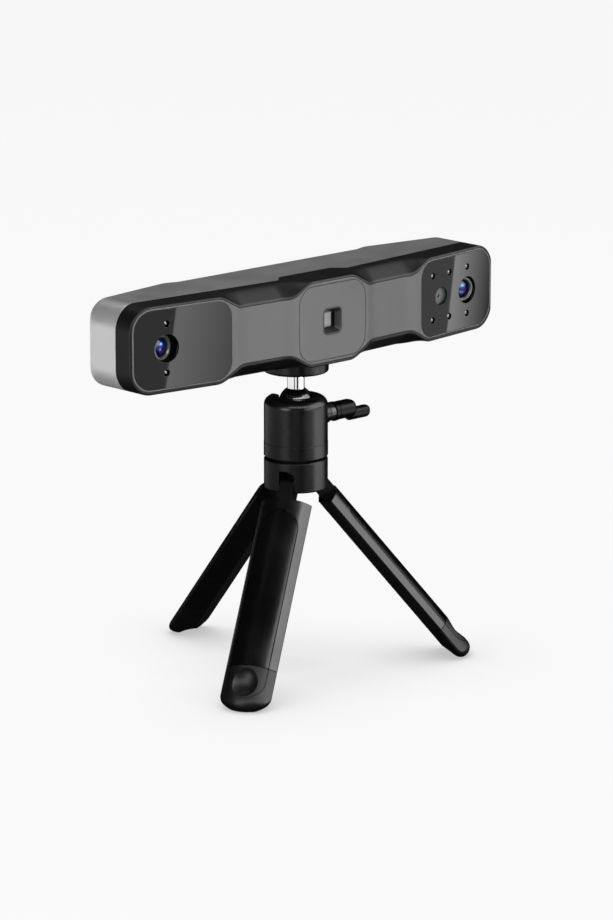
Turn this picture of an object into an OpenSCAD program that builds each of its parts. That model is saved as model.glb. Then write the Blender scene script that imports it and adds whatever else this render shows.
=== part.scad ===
// Wide-bar 3-D scanner on a ball-head mini tripod, in millimetres.
// The origin is on the floor under the tripod's axis; +Z is up and the scanner looks along -Y.

/* [Bar] */
// Overall length of the scanner bar
bar_l = 295; // [280:1:320]
// Overall height of the scanner bar
bar_h = 52; // [50:0.2:58]
// Corner radius of the bar seen from the front
corner_r = 14.5; // [10:0.5:16]
// Wall thickness of the rear housing
wall = 2.4; // [1.6:0.1:3]
// Distance from the stand axis to the front of the centre block
front_reach = 31.6; // [30:0.2:34]
// Setback of the waists behind the centre block's front, next to the centre block
waist_back = 2.9; // [2.1:0.1:4]
// Rearward slope of the waists, per millimetre of length
waist_sweep = 0.061; // [0.03:0.005:0.08]
// Setback of the end blocks behind the centre block's front, at their inner edge
block_back = 3.2; // [2.1:0.1:4.6]
// Rearward slope of the end blocks, per millimetre of length
block_sweep = 0.133; // [0.1:0.005:0.15]
// Length of each end block, from its window's inner edge to the bar's end
block_l = 70.1; // [68:0.1:76]
// Distance from the stand axis to the middle of the rear wall
rear_depth = 26.8; // [25:0.2:32]
// Step from the middle of the rear wall out to its shoulders
shoulder_step = 2.5; // [1:0.1:4]
// Forward slope of the rear wall beyond its shoulders, per millimetre of length
rear_sweep = 0.155; // [0.1:0.005:0.17]
// Rounding of the rear top and bottom edges
rear_edge_r = 5; // [3:0.5:7]
// Rounding of the rear end corners seen from above
rear_corner_r = 6; // [4:0.5:9]

/* [Bezel and face] */
// Distance from the stand axis to the housing seam, carried on to the middle
seam_reach = 17; // [16:0.2:18]
// Rearward slope of the housing seam, per millimetre of length
seam_sweep = 0.09; // [0.07:0.005:0.1]
// Distance from the stand axis to the seam behind the centre block
tongue_reach = 7.8; // [7.4:0.1:9]
// Forward step of the housing seam round the bar's ends
seam_tuck = 2.4; // [0:0.1:3]
// Width of the bezel's rim above and below the face plate, on average
rim = 1.75; // [1.5:0.05:2.4]
// Width of the bezel's rim at the ends of the face plate
end_rim = 1.45; // [1:0.05:2]
// Height of the face's middle above the middle of the bar
face_up = 0.3; // [0:0.1:0.8]
// Depth of the scooped waists, from the face plate back to the level top
scoop_d = 9.5; // [7:0.1:11]
// Depth of the scooped waists below the top of the bar
scoop_h = 7.55; // [5:0.1:9]
// Half length of the centre block's level top
crown_x = 15; // [12:0.5:18]
// Distance from the middle at which the waists begin
neck_x = 34; // [32:0.5:38]
// Thickness of the face plate
face_t = 2.6; // [2.2:0.1:3.2]
// Corner radius of the face plate's ends
face_r = 13.2; // [9:0.1:15]
// Bevel along the face plate's edge
face_bevel = 0.5; // [0.2:0.1:0.8]
// Width of the ledge that the face plate rests on
ledge = 2.5; // [1.8:0.1:3.5]
// Gap round pieces that are let into another piece
fit = 0.15; // [0.05:0.05:0.25]

/* [Windows and optics] */
// Thickness of the window panels
window_t = 1.2; // [0.8:0.1:1.6]
// Face plate left visible round a window
window_rim = 1.1; // [0.8:0.1:2]
// Corner radius of a window's inner corners
window_r = 10; // [7:0.5:12]
// Width of the centre plate
centre_w = 53.4; // [48:0.2:56]
// Corner radius of the centre plate
centre_r = 11; // [7:0.5:13]
// Face plate left visible above and below the centre plate
centre_rim = 1.9; // [1.4:0.1:3]
// Thickness of the centre plate
centre_t = 1.4; // [1:0.1:1.8]
// Width of the projector opening
aperture_w = 13.6; // [12:0.2:16]
// Height of the projector opening
aperture_h = 14.6; // [12:0.2:16]
// Depth of the projector funnel behind the centre plate's front
funnel_d = 4.8; // [4.2:0.1:6]
// Distance from the bar's end to the stereo camera axes
cam_inset = 25; // [23:0.5:28]
// Diameter of the stereo camera holes
cam_hole_d = 16.6; // [15:0.2:18]
// Diameter of the stereo camera barrels
cam_d = 14.6; // [12:0.2:14.8]
// Diameter of the stereo camera lenses
lens_d = 11.4; // [8:0.2:11.6]
// How far the camera barrels sit behind the window
cam_recess = 3.7; // [3:0.1:3.9]
// Inward turn of the stereo cameras
toe_in = 9; // [0:0.5:10]
// Distance between the right stereo camera and the colour camera
colour_gap = 25.6; // [24:0.2:27]
// Diameter of the colour camera hole
colour_hole_d = 11.4; // [10:0.2:12]
// Diameter of the lamp holes
lamp_hole_d = 4; // [3.2:0.1:4.6]
// Height of the infrared lamps above and below the camera axes
lamp_z = 14.4; // [13:0.2:16]
// Height of the fill lamps above and below the camera axes
fill_z = 13.6; // [12:0.2:16]
// Distance of the fill lamps to either side of the colour camera
lamp_x = 8.1; // [7.5:0.1:9]

/* [Rear controls] */
// Diameter of the scan button
button_d = 14; // [10:0.5:16]
// Diameter of the plus and minus keys
key_d = 8; // [6:0.5:9]
// Distance of the plus and minus keys from the scan button
key_x = 18; // [16.5:0.5:20]
// Gap round the scan button and the keys
key_gap = 0.35; // [0.3:0.05:0.6]
// Travel of the scan button
button_travel = 0.8; // [0.4:0.1:0.9]
// Travel of the plus and minus keys
key_travel = 0.6; // [0.4:0.1:0.9]
// Distance of the data socket from the middle
usb_x = 44; // [40:1:46]

/* [Ball head] */
// Diameter of the head, the hub and the closed legs
head_d = 38.4; // [36:0.2:42]
// Height of the head's base ring
base_h = 8; // [7:0.2:10]
// Height of the head's housing above the base ring
housing_h = 28; // [27:0.2:32]
// Rounding of the housing's shoulder
shoulder_r = 5.5; // [4:0.2:6]
// Diameter of the ball
ball_d = 20.5; // [19:0.1:21.5]
// Depth of the ball's centre below the housing's top
ball_drop = 4.1; // [3.8:0.1:4.6]
// Gap between the ball and its socket
ball_gap = 0.3; // [0.2:0.05:0.4]
// Diameter of the chrome stem
stem_d = 10.4; // [8:0.2:11]
// Height of the platform's underside above the ball's centre
stem_l = 19.1; // [19.1:0.1:24]
// Diameter of the platform
platform_d = 39.4; // [34:0.2:42]
// Thickness of the platform
platform_t = 7; // [6:0.2:9]
// Thickness of the platform's pad
pad_t = 2; // [1.2:0.1:3]
// Diameter of the quarter-inch stud
stud_d = 6.35; // [6:0.05:6.6]
// Length of the stud above the pad
stud_l = 6; // [4:0.2:8]
// Radial running clearance of turning shafts
run = 0.05; // [0.02:0.01:0.1]
// Depth of the lock screw's axis below the ball's centre
lock_drop = 10.6; // [10:0.1:11]
// Diameter of the lock screw
lock_d = 6; // [5:0.1:6.6]
// Distance from the head's axis to the lock knob
knob_x = 29; // [28:0.2:34]
// Diameter of the lock knob's barrel
knob_d = 11; // [9.6:0.2:12]
// Length of the lock knob's barrel
knob_l = 17.3; // [14:0.1:20]
// Length of the lock knob's wing beyond the barrel
wing_l = 14.6; // [12:0.2:20]
// Height of the lock knob's wing
wing_h = 7.6; // [7:0.2:10]

/* [Tripod] */
// Height of the hub
hub_h = 18.5; // [17.5:0.1:22]
// Gap between the hub and the panning head
pan_gap = 1.6; // [1.2:0.1:2.4]
// Distance of the leg pivots from the tripod axis
pivot_r = 13.2; // [12.8:0.1:13.8]
// Height of the leg pivots above the hub's underside
pivot_up = 3.3; // [3:0.1:4]
// Diameter of the leg hinge pins
pin_d = 3; // [2:0.1:3.4]
// Length of a leg from its pivot to its toe
leg_l = 147.5; // [140:0.5:165]
// Turn of the hub and legs about the tripod axis
hub_turn = -0.9; // [-25:0.1:25]
// Angle of the open legs from upright
splay = 39.1; // [35:0.1:43]
// Half width of a leg
leg_half_w = 15.6; // [14.5:0.1:15.8]
// Distance of a closed leg's inner ridge from the tripod axis
ridge_r = 5.3; // [5:0.1:8]
// Distance from a leg's pivot down to its shoulder
shoulder_l = 10.8; // [10.4:0.1:13]
// Rounding of the tongue about its pin
tongue_r = 5.3; // [4.8:0.1:5.6]
// Width of the tongue that hinges in the hub
tongue_w = 9; // [7:0.1:10]
// Length of the rubber foot
foot_l = 28.5; // [28:0.5:34]
// Width of the groove between a leg and its foot
foot_gap = 0.5; // [0.2:0.05:0.8]
// Rounding of a foot's toe seen from the side
toe_r = 4.7; // [4:0.1:5.2]
// Rounding of a foot's toe seen from the front
toe_round = 19.8; // [19:0.1:40]
// Slope of a foot's underside from the leg's length
toe_slope = 21; // [15:1:30]
// Half width of the inlay panel in a leg
inlay_half_w = 11.4; // [9:0.1:12]
// Thickness of the inlay panel
inlay_t = 1.5; // [1:0.1:2.2]
// Width of the groove round the inlay panel
inlay_gap = 0.5; // [0.3:0.05:0.8]
// Half length of the finger dimple in a foot
dimple_r = 9.2; // [7:0.1:9.4]
// Depth of the finger dimple in a foot
dimple_d = 4.5; // [3.5:0.1:5]

/* [Hidden] */
$fn = 64;
eps = 0.01;
SIDES = [-1, 1];
LEG_ANGLES = [hub_turn - 150, hub_turn - 30, hub_turn + 90];

// Heights of the tripod and head, worked up from the floor
head_r = head_d / 2;
toe_c = head_r - toe_r + 0.2;
sole_cut = 0.5;
pivot_z = (leg_l - toe_r) * cos(splay) + (pivot_r - toe_c) * sin(splay) + toe_r - sole_cut;
hub_z = pivot_z - pivot_up;
base_z = hub_z + hub_h + pan_gap;
housing_z = base_z + base_h;
rim_z = housing_z + housing_h;
ball_z = rim_z - ball_drop;
ball_r = ball_d / 2;
lock_z = ball_z - lock_drop;
platform_z = ball_z + stem_l;
pad_z = platform_z + platform_t;
bar_bottom_z = pad_z + pad_t;
bar_z = bar_bottom_z + bar_h / 2 + face_up;

// Places along the half length of the bar
waist_reach = front_reach - waist_back;
block_reach = front_reach - block_back;
half_l = bar_l / 2;
bar_low = -bar_h / 2 - face_up;
window_x = half_l - block_l;
neck_out_x = window_x - 9.4;
block_x = window_x - 1.4;
block_top_x = window_x + 9.6;
shoulder_x = window_x - 5.4;
shoulder_run = 12;
front_ramp = 12;
centre_x = centre_w / 2;
tongue_x = 20;
tongue_run = 9;
cam_x = half_l - cam_inset;
colour_x = cam_x - colour_gap;
face_end = half_l - end_rim;
pillar_x = (neck_x + neck_out_x) / 2;

// Outline of the bar, as functions of the distance x from the middle
function smooth(t) = let (c = min(max(t, 0), 1)) c * c * (3 - 2 * c);
function ramp(x, x0, x1, a, b) = a + (b - a) * smooth((x - x0) / (x1 - x0));
function arc_drop(x, x_end, r) =
  x <= x_end - r ? 0 : r - sqrt(max(0, r * r - pow(min(x, x_end) - (x_end - r), 2)));
function waist_front(x) = -waist_reach + waist_sweep * (x - neck_x);
function block_front(x) = -block_reach + block_sweep * (x - block_x);
function front_y(x) = x < pillar_x
  ? ramp(x, centre_x, centre_x + front_ramp, -front_reach, waist_front(x))
  : ramp(x, block_x - front_ramp, block_x, waist_front(x), block_front(x));
function scoop(x) = scoop_h * (x < pillar_x
  ? smooth((x - crown_x) / (neck_x - crown_x))
  : 1 - smooth((x - neck_out_x) / (block_top_x - neck_out_x)));
function half_h(x) = bar_h / 2 - arc_drop(x, half_l, corner_r);
function rim_half(x) = half_h(x) - scoop(x);
function face_half(x, grow = 0) =
  bar_h / 2 - rim + grow - scoop(x) - arc_drop(x, face_end + grow, face_r + grow);
function seam_y(x) = ramp(x, tongue_x, tongue_x + tongue_run, -tongue_reach, -seam_reach + seam_sweep * x)
  - seam_tuck * smooth((x - half_l + corner_r) / corner_r);
function shoulder_y(x) = rear_depth + shoulder_step - rear_sweep * (x - shoulder_x - shoulder_run);
function rear_y(x) = ramp(x, shoulder_x, shoulder_x + shoulder_run, rear_depth, shoulder_y(x))
  - arc_drop(x, half_l, rear_corner_r);

// Stations along the bar: close together in its ramps and round its ends
function steps(a, b, n) = [for (i = [0:n - 1]) a + (b - a) * i / n];
function half_stations(x_end, r) = concat(
  [0], steps(crown_x, centre_x + front_ramp, 8), steps(centre_x + front_ramp, block_x - front_ramp, 2),
  steps(block_x - front_ramp, block_top_x, 8), [block_top_x],
  [for (a = [0:15:90]) x_end - r + r * sin(a)]);
function both_sides(list) = concat(
  [for (i = [len(list) - 1:-1:1]) -list[i]], list);
function stations(x_end, r) = both_sides(half_stations(x_end, r));

// A closed skin through rings of points, each ring in one plane across X and counted anticlockwise
module loft(rings) {
  n = len(rings[0]);
  m = len(rings);
  points = [for (ring = rings) each ring];
  sides = [for (i = [0:m - 2], j = [0:n - 1])
    let (k = (j + 1) % n, a = i * n + j, b = i * n + k, c = a + n, d = b + n)
    each [[a, c, d], [a, d, b]]];
  first = [for (j = [0:n - 1]) j];
  last = [for (j = [n - 1:-1:0]) (m - 1) * n + j];
  polyhedron(points, concat(sides, [first, last]), convexity = 8);
}
function ring_at(x, outline, up = 0) = [for (p = outline) [x, p[0], p[1] + up]];
function box_outline(y0, y1, h) = [[y0, -h], [y1, -h], [y1, h], [y0, h]];
function arc(c, r, a0, a1, n) =
  [for (i = [0:n]) let (a = a0 + (a1 - a0) * i / n) [c[0] + r * cos(a), c[1] + r * sin(a)]];

module in_bar() { translate([0, 0, bar_z]) children(); }
// A cylinder that starts at [x, y, z] in the bar and runs forward along -Y
module forward(x, y, z, r, l) { translate([x, y, z]) rotate([90, 0, 0]) cylinder(r = r, h = l); }
// A rounded rectangle w by h, centred, made of true arcs
module rounded(w, h, r) {
  square([w - 2 * r, h], center = true);
  square([w, h - 2 * r], center = true);
  for (x = SIDES, z = SIDES) translate([x * (w / 2 - r), z * (h / 2 - r)]) circle(r);
}
// A plate in the XZ plane whose front face is at y and whose thickness runs back along +Y
module plate(y, t) { translate([0, y + t, 0]) rotate([90, 0, 0]) linear_extrude(t) children(); }

// Rear housing
seat = 0.02;
screw_z = 13;
screw_r = 1.5;
screw_head_r = 2.9;
screw_head_t = 1.6;
boss_t = 1.8;
pillar_r = 3.4;
inner_y = rear_depth - wall;
insert_r = 5;
insert_l = 9;
post_r = 2.2;
board_t = 1.6;
key_board_y = inner_y - 7.4;
key_board_w = 2 * (key_x + 13);
key_post_x = key_x + 10;
light_z = button_d / 2 + 5;
light_r = 1.5;
usb_w = 9.4;
usb_h = 3.6;
usb_l = 8;
usb_y = rear_depth - 0.4;
shelf_t = 2;

function rear_outline(x) = let (h = half_h(x), y = rear_y(x), r = rear_edge_r)
  concat([[seam_y(x), -h]], arc([y - r, -h + r], r, -90, 0, 4), arc([y - r, h - r], r, 0, 90, 4),
    [[seam_y(x), h]]);
function rear_cavity(x) = box_outline(seam_y(x) - 2, rear_y(x) - wall, half_h(x) - wall);
cavity_end = half_l - wall;
cavity_r = corner_r - wall;
cavity_x = both_sides(concat([0, tongue_x, tongue_x + tongue_run, shoulder_x, shoulder_x + shoulder_run],
  [for (a = [0:30:90]) cavity_end - cavity_r + cavity_r * sin(a)]));

module rear_shell() {
  difference() {
    loft([for (x = stations(half_l, corner_r)) ring_at(x, rear_outline(abs(x)), -face_up)]);
    loft([for (x = cavity_x) ring_at(x, rear_cavity(abs(x)), -face_up)]);
  }
}
module usb_outline(grow) {
  r = usb_h / 2;
  square([usb_w - usb_h, usb_h + 2 * grow], center = true);
  for (x = SIDES) translate([x * (usb_w / 2 - r), 0]) circle(r + grow);
}
module rear_housing() {
  color("silver") in_bar() difference() {
    union() {
      rear_shell();
      for (x = SIDES, z = SIDES)
        forward(x * pillar_x, inner_y + eps, z * screw_z, screw_head_r + 1.4, boss_t + eps);
      for (x = SIDES) forward(x * key_post_x, inner_y + eps, 0, post_r, inner_y + eps - key_board_y - board_t);
      translate([0, 0, bar_low + eps]) cylinder(r = insert_r + 2, h = insert_l + 2);
      translate([usb_x - usb_w / 2, usb_y - usb_l, -usb_h / 2 - shelf_t])
        cube([usb_w, inner_y - usb_y + usb_l + eps, shelf_t]);
    }
    translate([0, 0, bar_low - 1]) cylinder(r = insert_r + seat, h = insert_l + 1);
    for (x = SIDES, z = SIDES) {
      forward(x * pillar_x, rear_depth + 1, z * screw_z, screw_r + 0.2, wall + boss_t + 2);
      forward(x * pillar_x, rear_depth + 1, z * screw_z, screw_head_r + 0.3, screw_head_t + 1.4);
    }
    forward(0, rear_depth + 1, 0, button_d / 2 + key_gap, wall + 2);
    for (x = SIDES) forward(x * key_x, rear_depth + 1, 0, key_d / 2 + key_gap, wall + 2);
    forward(0, rear_depth + 1, light_z, light_r + seat, wall + 2);
    translate([usb_x, 0, 0]) plate(inner_y - 1, wall + 2) usb_outline(seat);
  }
}

// Front bezel
beam_y = 19.2 - front_reach;
beam_t = 4;
bridge_w = 9;
rim_round = 1.2;
function bezel_outline(x) = let (
    h = half_h(x), rh = rim_half(x), s = seam_y(x), r = rim_round,
    f = front_y(x) + arc_drop(x, half_l, end_rim), l = norm([scoop_d, h - rh]),
    dy = scoop_d / l * r, dz = (h - rh) / l * r, m = f + scoop_d)
  [[f, -rh + r], [f + 0.3 * r, -rh + 0.3 * r], [f + dy, -rh - dz],
   [m - 1.5, -h + (h - rh) * 0.1], [m + 0.5, -h], [s, -h],
   [s, h], [m + 0.5, h], [m - 1.5, h - (h - rh) * 0.1],
   [f + dy, rh + dz], [f + 0.3 * r, rh - 0.3 * r], [f, rh - r]];
function pocket_outline(x) = box_outline(front_y(x) - 3, front_y(x) + face_t, face_half(x, fit));
function opening_outline(x) = box_outline(front_y(x) + face_t - 1, seam_y(x) + 2, face_half(x, -ledge));

module front_bezel() {
  opening_half = face_half(pillar_x, -ledge);
  bridge_y = front_y(pillar_x) + face_t + 0.3;
  color("#161718") in_bar() difference() {
    union() {
      difference() {
        loft([for (x = stations(half_l, corner_r)) ring_at(x, bezel_outline(abs(x)), -face_up)]);
        loft([for (x = stations(face_end + fit, face_r + fit)) ring_at(x, pocket_outline(abs(x)))]);
        loft([for (x = stations(face_end - ledge, face_r - ledge)) ring_at(x, opening_outline(abs(x)))]);
      }
      for (x = SIDES) {
        translate([x * pillar_x - bridge_w / 2, bridge_y, -opening_half - 1])
          cube([bridge_w, beam_y - bridge_y, 2 * opening_half + 2]);
        for (z = SIDES)
          forward(x * pillar_x, inner_y - boss_t, z * screw_z, pillar_r, inner_y - boss_t - beam_y + 2);
      }
    }
    for (x = SIDES, z = SIDES) forward(x * pillar_x, inner_y, z * screw_z, screw_r + seat, 14);
  }
}

// Face plate with its windows and centre plate
function face_outline(x) = let (y = front_y(x), h = face_half(x), b = face_bevel)
  [[y, -h + b], [y + b, -h], [y + face_t, -h], [y + face_t, h], [y + b, h], [y, h - b]];
// Sets a piece on the face of an end block: X runs out along the block, +Y goes into it
module on_block(side) {
  mirror([side < 0 ? 1 : 0, 0, 0]) translate([window_x, block_front(window_x), 0])
    rotate([0, 0, atan(block_sweep)]) children();
}
window_l = (face_end - window_rim - window_x) / cos(atan(block_sweep));
window_h = bar_h - 2 * rim - 2 * window_rim;
window_end_r = face_r - window_rim;
module window_outline(grow) {
  w = window_l + 2 * grow;
  h = window_h + 2 * grow;
  re = window_end_r + grow;
  ri = window_r + grow;
  translate([window_l / 2, 0]) {
    translate([-w / 2 + ri, -h / 2]) square([w - ri - re, h]);
    translate([-w / 2, -h / 2 + ri]) square([w / 2, h - 2 * ri]);
    translate([0, -h / 2 + re]) square([w / 2, h - 2 * re]);
    for (z = SIDES) {
      translate([-w / 2 + ri, z * (h / 2 - ri)]) circle(ri);
      translate([w / 2 - re, z * (h / 2 - re)]) circle(re);
    }
  }
}
centre_h = bar_h - 2 * rim - 2 * centre_rim;
hole_deep = 20;
module camera_hole(side) { forward(side * cam_x, -hole_deep / 2, 0, cam_hole_d / 2, 2 * hole_deep); }
module infrared_holes(side) {
  for (z = SIDES) forward(side * cam_x, -hole_deep / 2, z * lamp_z, lamp_hole_d / 2, 2 * hole_deep);
}
module colour_holes() {
  forward(colour_x, -hole_deep / 2, 0, colour_hole_d / 2, 2 * hole_deep);
  for (x = SIDES, z = SIDES)
    forward(colour_x + x * lamp_x, -hole_deep / 2, z * fill_z, lamp_hole_d / 2, 2 * hole_deep);
}
frame_w = aperture_w + 1.6;
frame_h = aperture_h + 1.6;
frame_r = 3.4;
module face_plate() {
  color("#6f7072") in_bar() difference() {
    loft([for (x = stations(face_end, face_r)) ring_at(x, face_outline(abs(x)))]);
    for (side = SIDES) {
      on_block(side) plate(-2, window_t + 2) window_outline(fit);
      camera_hole(side);
      infrared_holes(side);
    }
    colour_holes();
    plate(-front_reach - 2, centre_t + 2) rounded(centre_w + 2 * fit, centre_h + 2 * fit, centre_r + fit);
    plate(-front_reach - 2, face_t + 4) rounded(frame_w + 2 * fit, frame_h + 2 * fit, frame_r + fit);
  }
}
module left_window() {
  color("#1a1b1d") in_bar() difference() {
    on_block(-1) plate(0, window_t) window_outline(0);
    camera_hole(-1);
    infrared_holes(-1);
  }
}
module right_window() {
  color("#1a1b1d") in_bar() difference() {
    on_block(1) plate(0, window_t) window_outline(0);
    camera_hole(1);
    infrared_holes(1);
    colour_holes();
  }
}
module centre_plate() {
  color("#757678") in_bar() plate(-front_reach, centre_t) difference() {
    rounded(centre_w, centre_h, centre_r);
    rounded(frame_w + 2 * fit, frame_h + 2 * fit, frame_r + fit);
  }
}

// Projector
funnel_end_y = -front_reach + funnel_d;
glass_t = 1;
glass_w = aperture_w - 3;
glass_h = aperture_h - 3;
throat_w = glass_w - 1.4;
throat_h = glass_h - 1.4;
emitter_t = 0.8;
module projector_frame() {
  mouth_r = 2.6;
  throat_r = 1.2;
  taper_l = funnel_d - glass_t - 0.4;
  color("#3a3b3d") in_bar() difference() {
    plate(-front_reach, funnel_d) rounded(frame_w, frame_h, frame_r);
    hull() {
      plate(-front_reach - eps, eps) rounded(aperture_w, aperture_h, mouth_r, $fn = 32);
      plate(-front_reach + taper_l, eps) rounded(throat_w, throat_h, throat_r, $fn = 32);
    }
    plate(-front_reach + taper_l - 0.1, funnel_d) rounded(throat_w, throat_h, throat_r);
    plate(funnel_end_y - glass_t, glass_t + 1) rounded(glass_w + 2 * seat, glass_h + 2 * seat, throat_r);
  }
}
module projector_window() {
  color("#20262c") in_bar() plate(funnel_end_y - glass_t, glass_t) rounded(glass_w, glass_h, 1.2);
}
module projector_emitter() {
  color("#d8d9da") in_bar() plate(funnel_end_y, emitter_t) rounded(throat_w * 0.68, throat_h * 0.9, 0.6);
}
module projector_module() {
  margin = 5;
  body_w = frame_w + 2 * margin;
  fin_t = 1.2;
  fin_gap = 3;
  front = funnel_end_y;
  color("#2b2c2e") in_bar() difference() {
    union() {
      translate([-body_w / 2, front, -body_w / 2]) cube([body_w, beam_y - front, body_w]);
      for (i = [0:3], z = SIDES)
        translate([-body_w / 2, front + 2 + i * fin_gap, z * (body_w / 2 + 1) - 1 - eps])
          cube([body_w, fin_t, 2 + 2 * eps]);
    }
    plate(front - 1, emitter_t + 1) rounded(throat_w * 0.68 + 2 * seat, throat_h * 0.9 + 2 * seat, 0.6);
  }
}

// Cameras and lamps, all parallel to -Y and standing on the camera boards
board_y = beam_y - board_t;
colour_d = colour_hole_d - 1.2;
colour_recess = 2.8;
lamp_r = lamp_hole_d / 2 - 0.15;
lamp_recess = 0.7;
pupil_r = 1.1;
lens_pocket = 3.2;
lens_t = 2.6;
// Sets a piece at the front of a stereo camera's barrel: +Z looks out along the turned optical axis
module at_camera(x) {
  translate([x, block_front(abs(x)) + cam_recess, 0]) rotate([0, 0, x < 0 ? toe_in : -toe_in])
    rotate([90, 0, 0]) children();
}
module camera_barrel(x) {
  deep = board_y - block_front(abs(x)) - cam_recess + 3;
  difference() {
    at_camera(x) difference() {
      translate([0, 0, -deep]) cylinder(d = cam_d, h = deep);
      translate([0, 0, -lens_pocket]) cylinder(d = lens_d + 2 * seat, h = lens_pocket + 1);
      translate([0, 0, -0.8]) cylinder(d1 = lens_d + 2 * seat, d2 = lens_d + 2 * seat + 1.6, h = 0.81);
    }
    translate([x - cam_d, board_y, -cam_d]) cube(2 * cam_d);
  }
}
// A lens with a flat back and a domed front
module dome_lens(r, t, crown) {
  dome_r = (r * r + crown * crown) / (2 * crown);
  intersection() {
    cylinder(r = r, h = t);
    translate([0, 0, t - dome_r]) sphere(dome_r);
  }
}
module camera_lens(x) { at_camera(x) translate([0, 0, -lens_pocket]) dome_lens(lens_d / 2, lens_t, 1.6); }
module left_camera_barrel() { color("#8d9094") in_bar() camera_barrel(-cam_x); }
module right_camera_barrel() { color("#8d9094") in_bar() camera_barrel(cam_x); }
module left_camera_lens() { color("#23408f") in_bar() camera_lens(-cam_x); }
module right_camera_lens() { color("#23408f") in_bar() camera_lens(cam_x); }
colour_l = board_y - block_front(colour_x) - colour_recess;
module colour_camera_barrel() {
  color("#9a9c9e") in_bar() translate([colour_x, board_y, 0]) rotate([90, 0, 0]) difference() {
    cylinder(d = colour_d, h = colour_l);
    translate([0, 0, colour_l - 1.2]) cylinder(r = pupil_r + seat, h = 2);
  }
}
module colour_camera_lens() {
  color("#10141c") in_bar() translate([colour_x, board_y - colour_l + 1.2, 0]) rotate([90, 0, 0])
    dome_lens(pupil_r, 1, 0.4);
}
module lamp(x, z) {
  l = board_y - block_front(abs(x)) - lamp_recess;
  translate([x, board_y, z]) rotate([90, 0, 0]) dome_lens(lamp_r, l, 0.8);
}
module infrared_lamps() { color("#241d28") in_bar() for (x = SIDES, z = SIDES) lamp(x * cam_x, z * lamp_z); }
module fill_lamps() {
  color("#f0f0e6") in_bar() for (x = SIDES, z = SIDES) lamp(colour_x + x * lamp_x, z * fill_z);
}

// Inside: the beam that carries the optics, and the boards
beam_inset = 14;
beam_half = half_l - beam_inset;
beam_h = 16;
main_y = -2.4;
main_half = pillar_x - pillar_r - 1;
main_gap = 6;
main_head = 9;
main_low = bar_low + insert_l + main_gap;
main_high = bar_h / 2 - main_head;
standoff_x = 30;
standoff_z = beam_h / 2 - 3;
vent_pitch = 14;
vent_r = 4;
module optical_frame() {
  color("#b9bbbe") in_bar() difference() {
    union() {
      translate([-beam_half, beam_y, -beam_h / 2]) cube([2 * beam_half, beam_t, beam_h]);
      for (x = SIDES, z = SIDES)
        forward(x * standoff_x, main_y, z * standoff_z, 2.4, main_y - beam_y - beam_t + eps);
    }
    for (x = SIDES, i = [1:3])
      forward(x * (pillar_x + i * vent_pitch), beam_y + beam_t + 1, 0, vent_r, beam_t + 2);
  }
}
module main_board() {
  chip = 16;
  color("#1f5a3a") in_bar() {
    translate([-main_half, main_y, main_low]) cube([2 * main_half, board_t, main_high - main_low]);
    for (x = SIDES) translate([x * main_half / 2 - chip / 2, main_y + board_t - eps, main_low + 4])
      cube([chip, 1.5, chip]);
  }
}
module camera_board(x0, x1) {
  h = 2 * lamp_z + 7;
  translate([x0, board_y, -h / 2]) cube([x1 - x0, board_t, h]);
}
board_in = colour_x - lamp_x - 4;
module left_camera_board() { color("#1f5a3a") in_bar() mirror([1, 0, 0]) camera_board(cam_x - 14, beam_half); }
module right_camera_board() { color("#1f5a3a") in_bar() camera_board(board_in, beam_half); }
module key_board() {
  switch_w = 6;
  switch_t = 0.5;
  color("#1f5a3a") in_bar() {
    translate([-key_board_w / 2, key_board_y, -switch_w])
      cube([key_board_w, board_t, light_z + light_r + 1 + switch_w]);
    for (x = [-key_x, 0, key_x])
      translate([x - switch_w / 2, key_board_y + board_t - eps, -switch_w / 2])
        cube([switch_w, switch_t + eps, switch_w]);
  }
}
module usb_port() {
  shell_t = 0.4;
  color("#a9abad") in_bar() translate([usb_x, 0, 0]) {
    difference() {
      plate(usb_y - usb_l, usb_l) usb_outline(0);
      plate(usb_y - usb_l + 1.2, usb_l) usb_outline(-shell_t);
    }
    translate([-usb_w / 2 + 1.6, usb_y - usb_l + 1, -0.35]) cube([usb_w - 3.2, usb_l - 2, 0.7]);
  }
}
module status_light() {
  color("#cfe9d2") in_bar()
    forward(0, rear_depth, light_z, light_r, rear_depth - key_board_y - board_t);
}
module tripod_insert() {
  color("#b5934a") in_bar() translate([0, 0, bar_low]) difference() {
    cylinder(r = insert_r, h = insert_l);
    translate([0, 0, -1]) cylinder(r = stud_d / 2 + run, h = insert_l + 2);
  }
}
screw_l = 13;
module housing_screws() {
  head_y = rear_depth + 1 - screw_head_t - 1.4;
  color("#3c3d40") in_bar() for (x = SIDES, z = SIDES) difference() {
    union() {
      forward(x * pillar_x, head_y + screw_head_t, z * screw_z, screw_head_r, screw_head_t);
      forward(x * pillar_x, head_y + eps, z * screw_z, screw_r, screw_l);
    }
    translate([x * pillar_x, head_y + screw_head_t, z * screw_z]) for (a = [0, 90])
      rotate([0, a, 0]) cube([2.8, 1.6, 0.7], center = true);
  }
}

// Keys that press in along -Y
cap_proud = 0.6;
flange_t = 1.2;
flange_w = 1.3;
plunger_r = 1.5;
switch_clear = 1.1;
module press_key(x, d) {
  flange_y = inner_y - 0.3;
  plunger_end = key_board_y + board_t + 0.5 + switch_clear;
  forward(x, rear_depth + cap_proud, 0, d / 2, rear_depth + cap_proud - flange_y + eps);
  forward(x, flange_y, 0, d / 2 + flange_w, flange_t);
  forward(x, flange_y - flange_t + eps, 0, plunger_r, flange_y - flange_t + eps - plunger_end);
}
module scan_button() { color("#2a2b2d") in_bar() press_key(0, button_d); }
module plus_key() {
  color("#2a2b2d") in_bar() press_key(key_x, key_d);
}
module minus_key() {
  color("#2a2b2d") in_bar() press_key(-key_x, key_d);
}

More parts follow.
